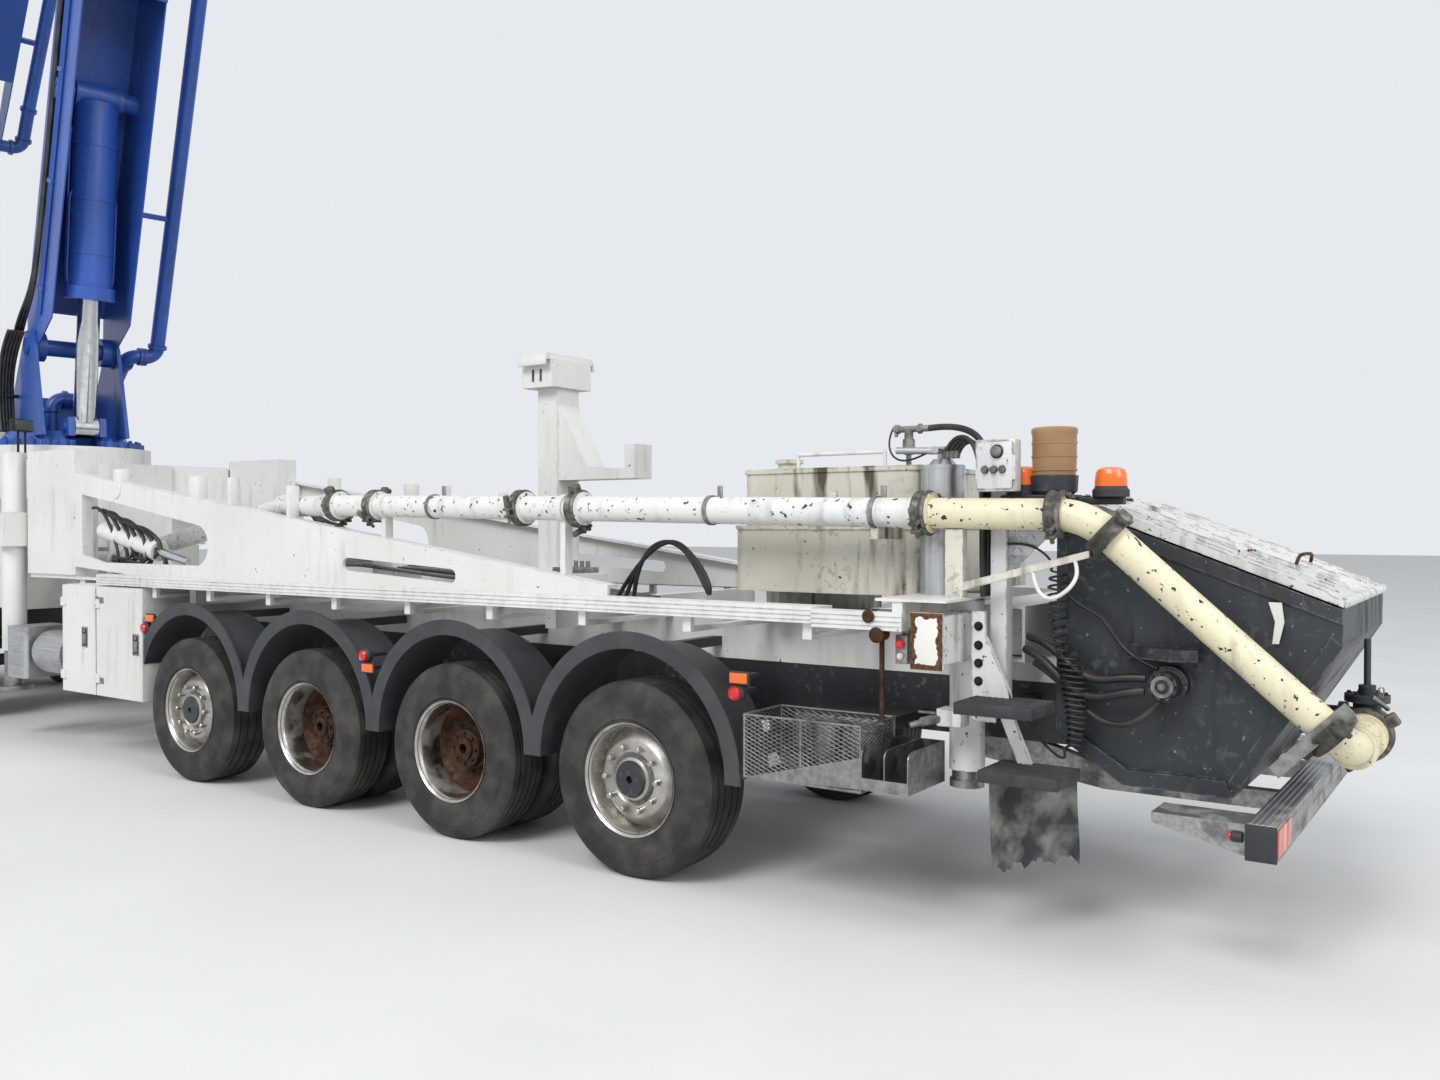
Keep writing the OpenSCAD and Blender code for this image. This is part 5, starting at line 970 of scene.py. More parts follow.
at_pot = Matrix.Translation((-2.100, 0.830, 2.055))
done(placed(join([pot] + ribs, "grease_pot"), at_pot), "truck", "pipe_paint")
done(placed(pot_base, at_pot), "truck", "hopper_paint")

# %% [markdown]
# The safety valve stands by the tank's corner, and a cross pipe with two hexagon unions links
# it to the vessel's head. Valves like this are bar stock with turned steps, so rods will do.

# %% Safety valve
VALVE_X, VALVE_Y, CROSS_Z = -1.330, 0.700, 2.306
valve = [rod("stem", STEEL, (VALVE_X, VALVE_Y, 2.120), (VALVE_X, VALVE_Y, 2.190), 0.013),
         rod("body", STEEL, (VALVE_X, VALVE_Y, 2.180), (VALVE_X, VALVE_Y, 2.262), 0.030, sides=6),
         rod("bonnet", STEEL, (VALVE_X, VALVE_Y, 2.255), (VALVE_X, VALVE_Y, 2.312), 0.022, sides=20),
         rod("cross", STEEL, (-1.250, VALVE_Y, CROSS_Z), (-1.440, VALVE_Y, CROSS_Z), 0.016),
         rod("union_a", STEEL, (-1.375, VALVE_Y, CROSS_Z), (-1.405, VALVE_Y, CROSS_Z), 0.025, sides=6),
         rod("union_b", STEEL, (-1.262, VALVE_Y, CROSS_Z), (-1.286, VALVE_Y, CROSS_Z), 0.023, sides=6),
         rod("tap", STEEL, (-1.262, VALVE_Y, 2.270), (-1.262, VALVE_Y, 2.330), 0.009)]
done(join(valve, "safety_valve"), "truck", "bare_steel")

# %% [markdown]
# Black hoses leave the vessel's head, arch over its edge and run down the post side by side.
# They are fixed at both ends, so each is one stiff curve and not a free cord.

# %% The vessel's hoses
HOSE_PITCH = 0.022
lines = [hose("line", HOSE, [(-1.440, VALVE_Y, CROSS_Z), (-1.520, 0.705, 2.312), (-1.640, 0.740, 2.300),
                             (-1.760, 0.800, 2.230), (-1.795, 0.840, 2.080), (-1.800, 0.845, 1.800),
                             (-1.795, 0.850, 1.530)], 0.016)]
for k in range(4):
    d = HOSE_PITCH * k
    lines.append(hose("line", HOSE, [
        (-1.560 - d, 0.790, 2.170), (-1.600 - d, 0.800, 2.250), (-1.700 - d, 0.830, 2.262 - d),
        (-1.780, 0.900 - d, 2.140), (-1.795 + d / 3, 0.905 - d, 1.900), (-1.790, 0.905 - d, 1.700),
        (-1.795, 0.900 - d, 1.512)], 0.011))
lines.append(hose("line", HOSE, [(-1.250, VALVE_Y, 2.320), (-1.220, 0.715, 2.260), (-1.250, 0.745, 2.150),
                                 (-1.380, 0.760, 2.142), (-1.480, 0.780, 2.190), (-1.540, 0.790, 2.205)], 0.005))
nuts = [rod("nut", STEEL, (-1.555 - HOSE_PITCH * k, 0.790, 2.150), (-1.562 - HOSE_PITCH * k, 0.792, 2.185), 0.015,
            sides=6) for k in range(4)]
done(join(lines, "vessel_hoses"), "truck", "tyre_rubber")
done(join(nuts, "vessel_unions"), "truck", "bare_steel")

# %% [markdown]
# A coiled hose stretches when it is pulled out and hangs in close turns otherwise. It is fixed
# at both ends. Twelve points a turn keep the helix round.

# %% Coiled hoses
POINTS_A_TURN = 12


def coil(top, bottom, turns, radius, thick, sway):
    """A helix from top to bottom that sways aside and whose turns grow and shrink a little."""
    x0, y0, z0 = top
    x1, y1, z1 = bottom
    count = turns * POINTS_A_TURN
    points = []
    for i in range(count + 1):
        t = i / count
        angle = 2 * math.pi * turns * t
        r = radius * (1 + 0.25 * math.sin(5 * t))
        points.append((x0 + (x1 - x0) * t + r * math.cos(angle) + sway * math.sin(math.pi * t),
                       y0 + (y1 - y0) * t + r * math.sin(angle), z0 + (z1 - z0) * t))
    return hose("coil", HOSE, points, thick, steps=2, ring=2)


coils = [coil((-2.130, 0.860, 1.640), (-2.140, 0.850, 1.260), 10, 0.034, 0.0055, 0.01),
         coil((-2.170, 0.850, 1.260), (-2.200, 0.850, 0.860), 16, 0.046, 0.0060, -0.02),
         hose("lead", HOSE, [(-1.900, 0.870, 1.750), (-1.980, 0.880, 1.760), (-2.080, 0.870, 1.720),
                             (-2.110, 0.860, 1.660), (-2.098, 0.860, 1.640)], 0.0055),
         hose("lead", HOSE, [(-2.150, 0.850, 0.862), (-2.170, 0.850, 0.800), (-2.120, 0.820, 0.790),
                             (-1.990, 0.790, 0.900), (-1.880, 0.760, 0.985)], 0.006)]
done(join(coils, "coiled_hoses"), "truck", "tyre_rubber")

# %% [markdown]
# ## Rear outrigger, buttons and caps
# The rear beam's end plate is white enamel that has rusted from its cut edges inwards. So its
# finish measures how far a point lies from the plate's middle, adds a noise, and turns to rust
# where the sum is high: a ragged brown rim round clean paint.

# %% End plate with a rusty rim
def rim_rust(name):
    material, tree = new_material(name)
    coords = add(tree, "TexCoord").outputs["Object"]
    place = add(tree, "SeparateXYZ", {0: coords})
    middle = Vector((-1.680, 0, 1.329)) + to_frame.translation
    edges = []
    for axis, half in ((0, 0.070), (2, 0.120)):
        away = add(tree, "Math", {0: place.outputs[axis], 1: middle[axis]}, operation="SUBTRACT")
        size = add(tree, "Math", {0: away.outputs[0]}, operation="ABSOLUTE")
        near = add(tree, "MapRange", {"Value": size.outputs[0], "From Min": half - 0.045, "From Max": half + 0.004})
        edges.append(near.outputs[0])
    worst = add(tree, "Math", {0: edges[0], 1: edges[1]}, operation="MAXIMUM")
    noise = add(tree, "TexNoise", {"Vector": coords, "Scale": 26, "Detail": 7})
    total = add(tree, "Math", {0: worst.outputs[0], 1: noise.outputs[0]}, operation="ADD")
    mask = add(tree, "MapRange", {"Value": total.outputs[0], "From Min": 0.98, "From Max": 1.03}).outputs[0]
    grain = noise_mask(tree, coords, 70, 0.4, 0.6)
    deep = add(tree, "Mix", {FACTOR: grain, UNDER: linear("#6b4426"), OVER: linear("#3a2718")},
               **BLEND).outputs[MIXED]
    colour = add(tree, "Mix", {FACTOR: mask, UNDER: linear("#dddcd4"), OVER: deep}, **BLEND).outputs[MIXED]
    bump = add(tree, "Bump", {"Height": mask, "Strength": 0.3, "Distance": 0.002}, invert=True)
    roughness = add(tree, "MapRange", {"Value": mask, "To Min": 0.4, "To Max": 0.9}).outputs[0]
    shader = add(tree, "BsdfPrincipled", {"Base Color": colour, "Roughness": roughness,
                                          "Normal": bump.outputs[0]})
    add(tree, "OutputMaterial", {"Surface": shader.outputs[0]})
    return material


RIM_RUST = rim_rust("end_plate_enamel")
done(block("rear_beam_end_plate", RIM_RUST, (-1.756, 1.2485, 1.204), (-1.604, 1.256, 1.452), 0.004),
     "rear_beam_left", "white_paint")

# %% [markdown]
# Rusty caps close the ends of the deck's cross tubes, a red and a white button stand in a case
# under the rail, and a drain tap sits on its valve block behind the basket.

# %% Caps, buttons and the drain tap
caps = []
for x, z, r in ((-1.400, 1.427, 0.030), (-1.440, 1.345, 0.036)):
    caps += [rod("tube", RUSTY, (x, 1.170, z), (x, 1.262, z), r * 0.8, sides=24),
             rod("cap", RUSTY, (x, 1.250, z), (x, 1.268, z), r, sides=24)]
caps.append(rod("stay", RUSTY, (-1.440, 1.200, 1.345), (-1.440, 1.200, 0.960), 0.012))
done(join(caps, "cross_tube_caps"), "truck", "iron")
station = [block("case", STEEL, (-1.560, 1.120, 1.215), (-1.500, 1.190, 1.345), 0.005),
           block("hanger", STEEL, (-1.545, 1.125, 1.340), (-1.515, 1.150, 1.372), 0.002)]
done(join(station, "button_case"), "truck", "bare_steel")
# The stop button's red glow is painted light; it holds no lamp.
done(rod("stop_button", RED_LENS, (-1.530, 1.188, 1.305), (-1.530, 1.216, 1.305), 0.020, sides=24, bevel=0.3),
     "truck", "frame_paint")
done(rod("start_button", WORN_WHITE, (-1.530, 1.188, 1.250), (-1.530, 1.208, 1.250), 0.015, sides=24),
     "truck", "white_paint")
tap = [block("valve_block", WORN_WHITE, (-1.760, 0.960, 0.930), (-1.640, 1.060, 1.010), 0.006),
       rod("tap_body", STEEL, (-1.650, 1.040, 0.965), (-1.590, 1.120, 0.950), 0.022, sides=6),
       rod("tap_end", STEEL, (-1.600, 1.110, 0.952), (-1.560, 1.165, 0.940), 0.014),
       block("tap_lever", STEEL, (-1.640, 1.060, 0.985), (-1.560, 1.080, 0.995), 0.002),
       rod("block_arm", FRAME_GREY, (-1.700, 0.420, 0.970), (-1.700, 0.970, 0.970), 0.020)]
done(join(tap, "drain_tap"), "truck", "bare_steel")

# %% [markdown]
# ## Handle of the pipe's brace
# A flat bar braces the falling pipe to its post. Under it hangs a handle, bent from round bar
# in one sweep, so it is drawn as one stiff curve.

# %% Brace handle
HANDLE_PATH = [(-2.060, 0.995, 1.648), (-2.075, 1.015, 1.600), (-2.100, 1.030, 1.540), (-2.150, 1.035, 1.515),
               (-2.200, 1.035, 1.535), (-2.262, 1.030, 1.590), (-2.268, 1.010, 1.650), (-2.240, 0.998, 1.705)]
done(hose("brace_handle", WHITE, HANDLE_PATH, 0.009, steps=6), "truck", "white_paint")

# %% [markdown]
# ## Hopper fittings
# The agitator's hydraulic motor shows a bright ring with a hexagon nose, a circle of screws
# and four hoses that sag on their way to the frame.

# %% Motor face and hoses
motor = Vector((-2.580, 0.886, 1.160))
SCREW_R = 0.050
ring = turned("ring", STEEL, [(0.030, 0.0), (0.046, 0.0), (0.046, 0.008), (0.030, 0.008)], 32)
face_parts = [placed(ring, aim(motor, (0, 1, 0))),
              rod("nose", STEEL, motor, motor + Vector((0, 0.022, 0)), 0.016, sides=6)]
done(join(face_parts, "motor_ring"), "truck", "bare_steel")
places = [(motor.x + a, 0.886, motor.z + b) for a, b in circle(8, SCREW_R)]
done(bolts("motor_screws", BLACK_BOLT, places, (0, 1, 0), 0.006), "truck", "bare_steel")
MOTOR_RUNS = [
    ([(-2.500, 0.840, 1.185), (-2.420, 0.850, 1.190), (-2.300, 0.850, 1.150), (-2.180, 0.830, 1.200),
      (-2.060, 0.800, 1.320), (-1.960, 0.760, 1.330)], 0.019),
    ([(-2.500, 0.860, 1.135), (-2.420, 0.870, 1.125), (-2.300, 0.870, 1.075), (-2.160, 0.840, 1.110),
      (-2.040, 0.800, 1.250), (-1.940, 0.750, 1.270)], 0.019),
    ([(-2.560, 0.860, 1.095), (-2.500, 0.870, 1.010), (-2.380, 0.870, 0.960), (-2.240, 0.840, 1.020),
      (-2.110, 0.790, 1.150), (-1.980, 0.740, 1.210)], 0.014),
    ([(-2.120, 0.780, 1.560), (-2.180, 0.790, 1.480), (-2.300, 0.770, 1.460), (-2.360, 0.760, 1.300),
      (-2.480, 0.780, 1.240), (-2.540, 0.800, 1.225)], 0.009)]
done(join([hose("run", HOSE, points, radius) for points, radius in MOTOR_RUNS], "motor_hoses"),
     "truck", "tyre_rubber")

# %% [markdown]
# A flat strap slants beside the outlet bend, a cut hook holds the lid, and the lid has a bent
# handle that rides with it. Flat cut pieces are outlines made thick, as from a plasma table.

# %% Strap, hook and the lid's handle
STRAP_Y, HOOK_Y = 0.875, 0.738
strap = [(-2.985, 0.870), (-3.255, 1.150), (-3.295, 1.110), (-3.025, 0.830)]
hook = [(-2.960, 1.520), (-3.010, 1.520), (-3.020, 1.440), (-3.000, 1.350), (-2.975, 1.350), (-2.985, 1.440)]
done(plate("outlet_strap", STEEL, [(x, STRAP_Y, z) for x, z in strap], 0.012), "truck", "bare_steel")
done(plate("lid_hook", WHITE, [(x, HOOK_Y, z) for x, z in hook], 0.010), "truck", "white_paint")
done(hose("lid_handle", RUSTY, [(-2.980, -0.2, 1.660), (-2.990, -0.2, 1.700), (-2.990, -0.1, 1.705),
                                (-2.990, 0.1, 1.705), (-2.990, 0.2, 1.700), (-2.980, 0.2, 1.660)], 0.008),
     "hopper_lid", "iron")

# %% [markdown]
# The outlet's clamp is the line's coupling again, so the same function draws it, a little
# larger. A wedge with a ring holds it, and six rusty bolts circle the spindle beside it.

# %% Outlet clamp with its wedge
OUTLET_X, SPINDLE_Y, SPINDLE_Z = -3.266, 0.240, 1.111
outlet = coupling("outlet_clamp", (OUTLET_X, 0.335, 0.950), (0, 1, 0), 0.6, 1.06)
wedge = [rod("wedge", STEEL, (-3.350, 0.300, 1.060), (-3.300, 0.390, 1.120), 0.010),
         hose("ring_pull", STEEL, [(-3.330, 0.330, 1.110), (-3.345, 0.345, 1.150), (-3.330, 0.370, 1.170),
                                   (-3.312, 0.360, 1.140), (-3.325, 0.335, 1.112)], 0.003)]
done(join([outlet] + wedge, "outlet_clamp"), "truck", "bare_steel")
places = [(OUTLET_X + a, SPINDLE_Y + b, SPINDLE_Z) for a, b in circle(6, 0.070)]
done(bolts("spindle_bolts", RUSTY, places, (0, 0, 1), 0.009), "truck", "iron")

# %% [markdown]
# ## Underride guard
# The guard is a ribbed extrusion with a black cap at each end, a band of red and amber
# reflector behind, and a small lamp inside each wedge bracket.

# %% Guard ends, reflectors and lamps
guard_caps, guard_bands, guard_lamps = [], [], []
for sign in (1, -1):
    y0, y1 = sorted((sign * 1.148, sign * 1.158))
    guard_caps.append(block("cap", TRIM, (-3.067, y0, 0.558), (-2.953, y1, 0.697), 0.004))
    for k in range(3):
        a, b = sorted((sign * (1.145 - 0.10 * k), sign * (1.050 - 0.10 * k)))
        # The reflector band glows with painted light; it holds no lamp.
        lens = RED_LENS if k % 2 == 0 else AMBER_LENS
        guard_bands.append(block("band", lens, (-3.069, a, 0.575), (-3.064, b, 0.680), 0.002))
    lamp_y = sign * 1.132
    guard_lamps.append(rod("lamp_case", TRIM, (-2.945, lamp_y, 0.640), (-2.900, lamp_y, 0.640), 0.022))
    guard_lamps.append(rod("lamp_lens", RED_LENS, (-2.905, lamp_y, 0.640), (-2.892, lamp_y, 0.640), 0.018))
done(join(guard_caps, "guard_caps"), "truck", "frame_paint")
done(join(guard_bands, "guard_reflectors"), "truck", "frame_paint")
done(join(guard_lamps, "guard_lamps"), "truck", "frame_paint")
RIB_PITCH, RIB_TOP = 0.022, 0.699
top = block("guard_top", ALUMINIUM, (-3.062, -1.146, 0.6955), (-2.958, 1.146, 0.6990), 0.001)
guard_ribs = []
for k in range(1, 5):
    x = -3.060 + RIB_PITCH * k
    guard_ribs.append(rod("rib", ALUMINIUM, (x, -1.144, RIB_TOP), (x, 1.144, RIB_TOP), 0.003, sides=8, bevel=0.1))
done(join([top] + guard_ribs, "guard_top_ribs"), "truck", "aluminium")

# %% [markdown]
# ## Turret and lift cylinder
# The turret's flange has thirty lobes with a bolt in each, apart from the notch under the lift
# cylinder's rod. The bolts turn with the turret, so they ride on it.

# %% Flange bolts
SLEW_X = 8.300
REST_SLEW, REST_LIFT = 170, -70.5
FLANGE_R, FLANGE_TOP, LOBES, NOTCH_HALF = 0.664, 2.661, 30, 12
places = []
for i in range(LOBES):
    angle = math.radians(REST_SLEW + 360 * (i + 0.5) / LOBES)
    offset = abs((math.degrees(angle) - REST_SLEW + 180) % 360 - 180)
    if offset > NOTCH_HALF:
        places.append((SLEW_X + FLANGE_R * math.cos(angle), FLANGE_R * math.sin(angle), FLANGE_TOP))
done(bolts("flange_bolts", BLUE, places, (0, 0, 1), 0.020), "turret", "blue_paint")

# %% [markdown]
# What stands on the turret, the boom and the cylinder is drawn lying straight, in that body's
# own frame, and then moved to its place at rest by a matrix.

# %% Frames of the turret, the boom and the cylinder at rest
boom_pin, foot = Vector((0.2, 0, 3.58)), Vector((0.56, 0, 2.79))
LIFT_EYE = Vector((2.43, 0, 0.02))
lift = math.radians(REST_LIFT)
turret_frame = Matrix.Translation((SLEW_X, 0, 0)) @ Matrix.Rotation(math.radians(REST_SLEW), 4, "Z")
boom_frame = turret_frame @ Matrix.Translation(boom_pin) @ Matrix.Rotation(lift, 4, "Y")
head = boom_pin + Matrix.Rotation(lift, 3, "Y") @ LIFT_EYE
lift_length = (head - foot).length
lift_turn = math.atan2(head.z - foot.z, head.x - foot.x)
lift_frame = turret_frame @ Matrix.Translation(foot) @ Matrix.Rotation(-lift_turn, 4, "Y")
print("lift cylinder", round(lift_length, 3), "m long")

# %% [markdown]
# Steel lines run along the cylinder's barrel, under three bands. A gland closes its mouth, and
# a rubber wiper keeps dirt off the chrome rod.

# %% Lines, bands and gland of the barrel
barrel_lines = []
for side in (-1, 1):
    y = side * 0.205
    for z, reach in ((0.045, 0.300), (-0.005, 0.900)):
        barrel_lines.append(hose("line", BLUE, [
            (lift_length - reach, side * 0.150, z), (lift_length - reach, y, z), (lift_length - reach - 0.06, y, z),
            (lift_length - 1.60, y, z), (lift_length - 1.74, y, z), (lift_length - 1.78, side * 0.175, z)], 0.011))
for reach in (0.45, 0.95, 1.45):
    band = turned("band", BLUE, [(0.191, -0.018), (0.197, -0.018), (0.197, 0.018), (0.191, 0.018)], 48)
    barrel_lines.append(placed(band, aim((lift_length - reach, 0, 0), (1, 0, 0))))
gland = turned("gland", BLUE, [(0.150, -0.030), (0.222, -0.030), (0.222, 0.004), (0.150, 0.004)], 48)
barrel_lines.append(placed(gland, aim((lift_length - 1.860, 0, 0), (1, 0, 0))))
done(placed(join(barrel_lines, "barrel_lines"), lift_frame), "lift_barrel", "blue_paint")
wiper = turned("wiper", HOSE, [(0.1012, -0.014), (0.120, -0.014), (0.120, 0.0), (0.1012, 0.0)], 48)
done(placed(wiper, lift_frame @ aim((lift_length - 1.862, 0, 0), (1, 0, 0))), "lift_barrel", "tyre_rubber")

# %% [markdown]
# Five hoses arch from the turret's base up to the boom's foot, held by two clips. Both ends
# stay on the turret, so nothing tears when the boom lifts.

# %% Turret hoses
arches = []
for k in range(5):
    y, step = -0.430 - 0.030 * k, 0.02 * k
    arches.append(hose("arch", HOSE, [
        (-0.150 + step, y, 2.760), (-0.150, y, 2.950), (-0.140 + step, y - 0.02, 3.200),
        (-0.060, y - 0.01, 3.480), (0.080, y, 3.640), (0.160, y + 0.01, 3.720)], 0.017))
done(placed(join(arches, "turret_hoses"), turret_frame), "turret", "tyre_rubber")
clips = [block("clip", BLACK_BOLT, (-0.190, -0.570, z), (-0.100, -0.392, z + 0.030), 0.004) for z in (2.85, 3.10)]
done(placed(join(clips, "turret_hose_clips"), turret_frame), "turret", "bare_steel")

# %% [markdown]
# ## First boom section
# Three painted steel lines lie along its side under clips, bolted covers close the lift
# cylinder's pin, and rubber hoses run a short way up from the foot.

# %% Lines on the first section
SECTION_LENGTH, LINE_RISE = 11.0, 0.08
lines = []
for k in range(3):
    y, z = -0.362, -0.100 - 0.045 * k
    lines.append(hose("line", BLUE, [
        (0.35, y, z), (0.8, y, z), (3.0, y, z), (7.0, y, z + 0.04), (SECTION_LENGTH, y, z + LINE_RISE)],
        0.012, steps=8))
for x in (0.6, 1.6, 2.6, 3.8, 5.0, 6.2, 7.4, 8.6, 9.8, 10.8):
    rise = LINE_RISE * x / SECTION_LENGTH
    lines.append(block("clip", BLUE, (x - 0.02, -0.378, -0.215 + rise), (x + 0.02, -0.349, -0.070 + rise), 0.003))
done(placed(join(lines, "section_1_lines"), boom_frame), "arm_1", "blue_paint")

# %% [markdown]
# The covers are thin discs with six bolts each, on both outer faces of the section. A short
# rod with bevelled rims is such a disc, and the bolts are copies on a circle.

# %% Pin covers
COVER_R, COVER_Y = 0.100, 0.351
covers = []
for sign in (-1, 1):
    y = sign * COVER_Y
    covers.append(rod("cover", BLUE, (LIFT_EYE.x, y, LIFT_EYE.z), (LIFT_EYE.x, y + sign * 0.016, LIFT_EYE.z),
                      COVER_R, sides=40, bevel=0.06))
    places = [(LIFT_EYE.x + a, y + sign * 0.014, LIFT_EYE.z + b) for a, b in circle(6, COVER_R * 0.75)]
    covers.append(bolts("cover_bolt", BLUE, places, (0, sign, 0), 0.009))
done(placed(join(covers, "pin_covers"), boom_frame), "arm_1", "blue_paint")
loom = []
for k in range(3):
    out, up = 0.03 * k, 0.03 * k
    loom.append(hose("loom", HOSE, [
        (0.10, -0.395 - out, 0.20), (0.25, -0.400 - out, 0.12), (0.45, -0.385 - 0.02 * k, 0.02),
        (0.80, -0.375, -0.02 + up), (1.60, -0.370, 0.00 + up), (3.20, -0.370, 0.02 + up)], 0.015))
done(placed(join(loom, "section_1_hoses"), boom_frame), "arm_1", "tyre_rubber")

# %% [markdown]
# ## Between the side beams
# Through the long opening of each side beam one sees the white cylinders that swing the front
# legs and the black hoses that feed them. They stand inside the frame, so they are drawn plainly.

# %% Slewing cylinders
CYLINDER_Y = 0.930
swing = []
for sign in (1, -1):
    y = sign * CYLINDER_Y
    swing += [rod("barrel", WHITE, (5.780, y, 1.800), (4.980, y, 1.640), 0.070, sides=28, bevel=0.1),
              rod("gland", WHITE, (5.020, y, 1.648), (4.960, y, 1.636), 0.082, sides=28, bevel=0.1),
              rod("low_barrel", WHITE, (5.600, y, 1.480), (4.700, y, 1.480), 0.050, sides=28, bevel=0.1)]
    swing += [block("bracket", WHITE, (x, y - 0.06, 1.414), (x + 0.08, y + 0.06, 1.500), 0.005)
              for x in (5.560, 4.640)]
done(join(swing, "leg_swing_cylinders"), "truck", "white_paint")
rods = [rod("rod", CHROME, (5.000, sign * CYLINDER_Y, 1.644), (4.560, sign * CYLINDER_Y, 1.556), 0.036, sides=24)
        for sign in (1, -1)]
done(join(rods, "leg_swing_rods"), "truck", "chrome_steel")

# %% [markdown]
# The hoses leave the beam in a row, hang in loops of different depth and end on a valve bank.
# Counting through small steps, rather than chance, keeps the bundle the same on each run.

# %% Hose loops and valve banks
bundle = []
for sign in (1, -1):
    for k in range(9):
        third = k % 3
        x, y, z = 5.86 - 0.07 * k, sign * (0.985 - 0.02 * third), 1.98 - 0.02 * k
        dip = 1.50 + 0.03 * (k % 4)
        bundle.append(hose("loop", HOSE, [
            (x, y, z), (x - 0.10, y, z + 0.02), (x - 0.24 - 0.02 * k, y, z - 0.10), (x - 0.34, y, (z + dip) / 2),
            (x - 0.44 - 0.05 * third, y, dip), (x - 0.30, y, dip - 0.03), (x - 0.10, y, dip)],
            0.012 + 0.003 * third, steps=4))
done(join(bundle, "leg_hoses"), "truck", "tyre_rubber")
valves = [block("valve_bank", STEEL, (5.300, y - 0.05, 1.418), (5.520, y + 0.03, 1.455), 0.004)
          for y in (0.965, -0.965)]
done(join(valves, "leg_valves"), "truck", "bare_steel")

# %% [markdown]
# On the deck between the beams stand white control blocks. Each has a steel manifold with a
# row of hexagon ports on top. A loop over their places and sizes draws them all, since only
# their outline is seen past the beam.

# %% Control blocks
PORT_PITCH = 0.05
blocks = []
for x, y, w, h in ((0.95, 0.30, 0.30, 0.14), (2.60, 0.35, 0.22, 0.20), (2.95, -0.30, 0.40, 0.16),
                   (3.40, 0.40, 0.26, 0.22), (3.80, -0.20, 0.34, 0.18)):
    blocks += [block("block", WHITE, (x, y, 1.330), (x + w, y + 0.26, 1.400 + h), 0.008),
               block("manifold", STEEL, (x + 0.03, y + 0.03, 1.398 + h), (x + w - 0.03, y + 0.20, 1.435 + h),
                     0.005)]
    for i in range(int((w - 0.08) / PORT_PITCH)):
        port_x = x + 0.06 + PORT_PITCH * i
        blocks.append(rod("port", STEEL, (port_x, y + 0.10, 1.430 + h), (port_x, y + 0.10, 1.475 + h), 0.014,
                          sides=6))
done(join(blocks, "control_blocks"), "truck", "white_paint")

# %% [markdown]
# Hoses and steel lines run back from them in turn, and three hoses arch up at the rear end. All
# are the same curve with a round section, rubber or steel by its finish alone.

# %% Deck lines
runs = []
for k in range(6):
    y, rise = 0.62 - 0.045 * k, 0.02 * k
    runs.append(hose("run", HOSE if k % 2 else STEEL, [
        (4.10, y, 1.46), (3.60, y + 0.02, 1.50 + rise), (3.10, y, 1.58), (2.70, y - 0.02, 1.54),
        (2.10, y, 1.50 + rise), (1.30, y, 1.46), (0.85, y, 1.44), (0.45, y, 1.40)], 0.014))
done(join(runs, "deck_lines"), "truck", "tyre_rubber")
arches = [hose("arch", HOSE, [(0.40 + 0.06 * k, 0.70, 1.42), (0.36, 0.72, 1.62), (0.20 - 0.03 * k, 0.74, 1.78),
                              (-0.02, 0.74, 1.72), (-0.12 - 0.03 * k, 0.74, 1.52), (-0.16, 0.74, 1.46)], 0.013)
          for k in range(3)]
done(join(arches, "deck_arch_hoses"), "truck", "tyre_rubber")

# %% [markdown]
# ## Brackets on the side beams and the boom rest
# Flat lugs stand on the beams' sloping upper flanges. A straight line gives the flange's height
# at each place, so every lug's foot sinks 30 mm into it, as a weld would hide the joint.

# %% Beam lugs
BEAM_LOW, BEAM_HIGH = (0.300, 1.510), (6.020, 2.270)


def beam_top(x):
    """Height of the side beam's upper flange."""
    return BEAM_LOW[1] + (x - BEAM_LOW[0]) * (BEAM_HIGH[1] - BEAM_LOW[1]) / (BEAM_HIGH[0] - BEAM_LOW[0])


DISC_X = 5.375
lugs = []
for sign in (1, -1):
    y0, y1 = sorted((sign * 0.965, sign * 1.046))
    for x, h, w in ((DISC_X, 0.10, 0.10), (4.30, 0.16, 0.12), (3.853, 0.20, 0.04), (3.16, 0.22, 0.04)):
        foot_z = beam_top(x)
        lugs.append(block("lug", WHITE, (x - w / 2, y0, foot_z - 0.03), (x + w / 2, y1, foot_z + h), 0.006))
    lugs.append(rod("disc", WHITE, (DISC_X, sign * 1.049, 2.120), (DISC_X, sign * 1.060, 2.120), 0.070, sides=40,
                    bevel=0.05))
done(join(lugs, "beam_lugs"), "truck", "white_paint")

# %% [markdown]
# The real rest has a rubber pad on its steel head. Here the pad lies half a millimetre under
# the head's top face, so that it can't meet the boom, and the head hides it. The keepers stand
# 4 mm off the head's sides. Both would be bolted on in a closer model.

# %% Rest pad
pad = [block("pad", HOSE, (1.525, -0.225, 2.976), (1.755, 0.225, 2.9795), 0.001)]
pad += [block("keeper", WHITE, (1.514, sign * 0.240 - 0.006, 2.900), (1.766, sign * 0.240 + 0.006, 2.960), 0.003)
        for sign in (1, -1)]
pad += [block("loop", FRAME_GREY, (1.60 + 0.07 * k, 0.190, 2.800), (1.612 + 0.07 * k, 0.2, 2.880), 0.002)
        for k in (0, 1)]
done(join(pad, "boom_rest_pad_cover"), "truck", "white_paint")

# %% [markdown]
# Two small work lights stand on stalks behind the turret and look back over the deck. They are
# seen small and from behind the rail, so each is a bevelled case with a pane of glass.

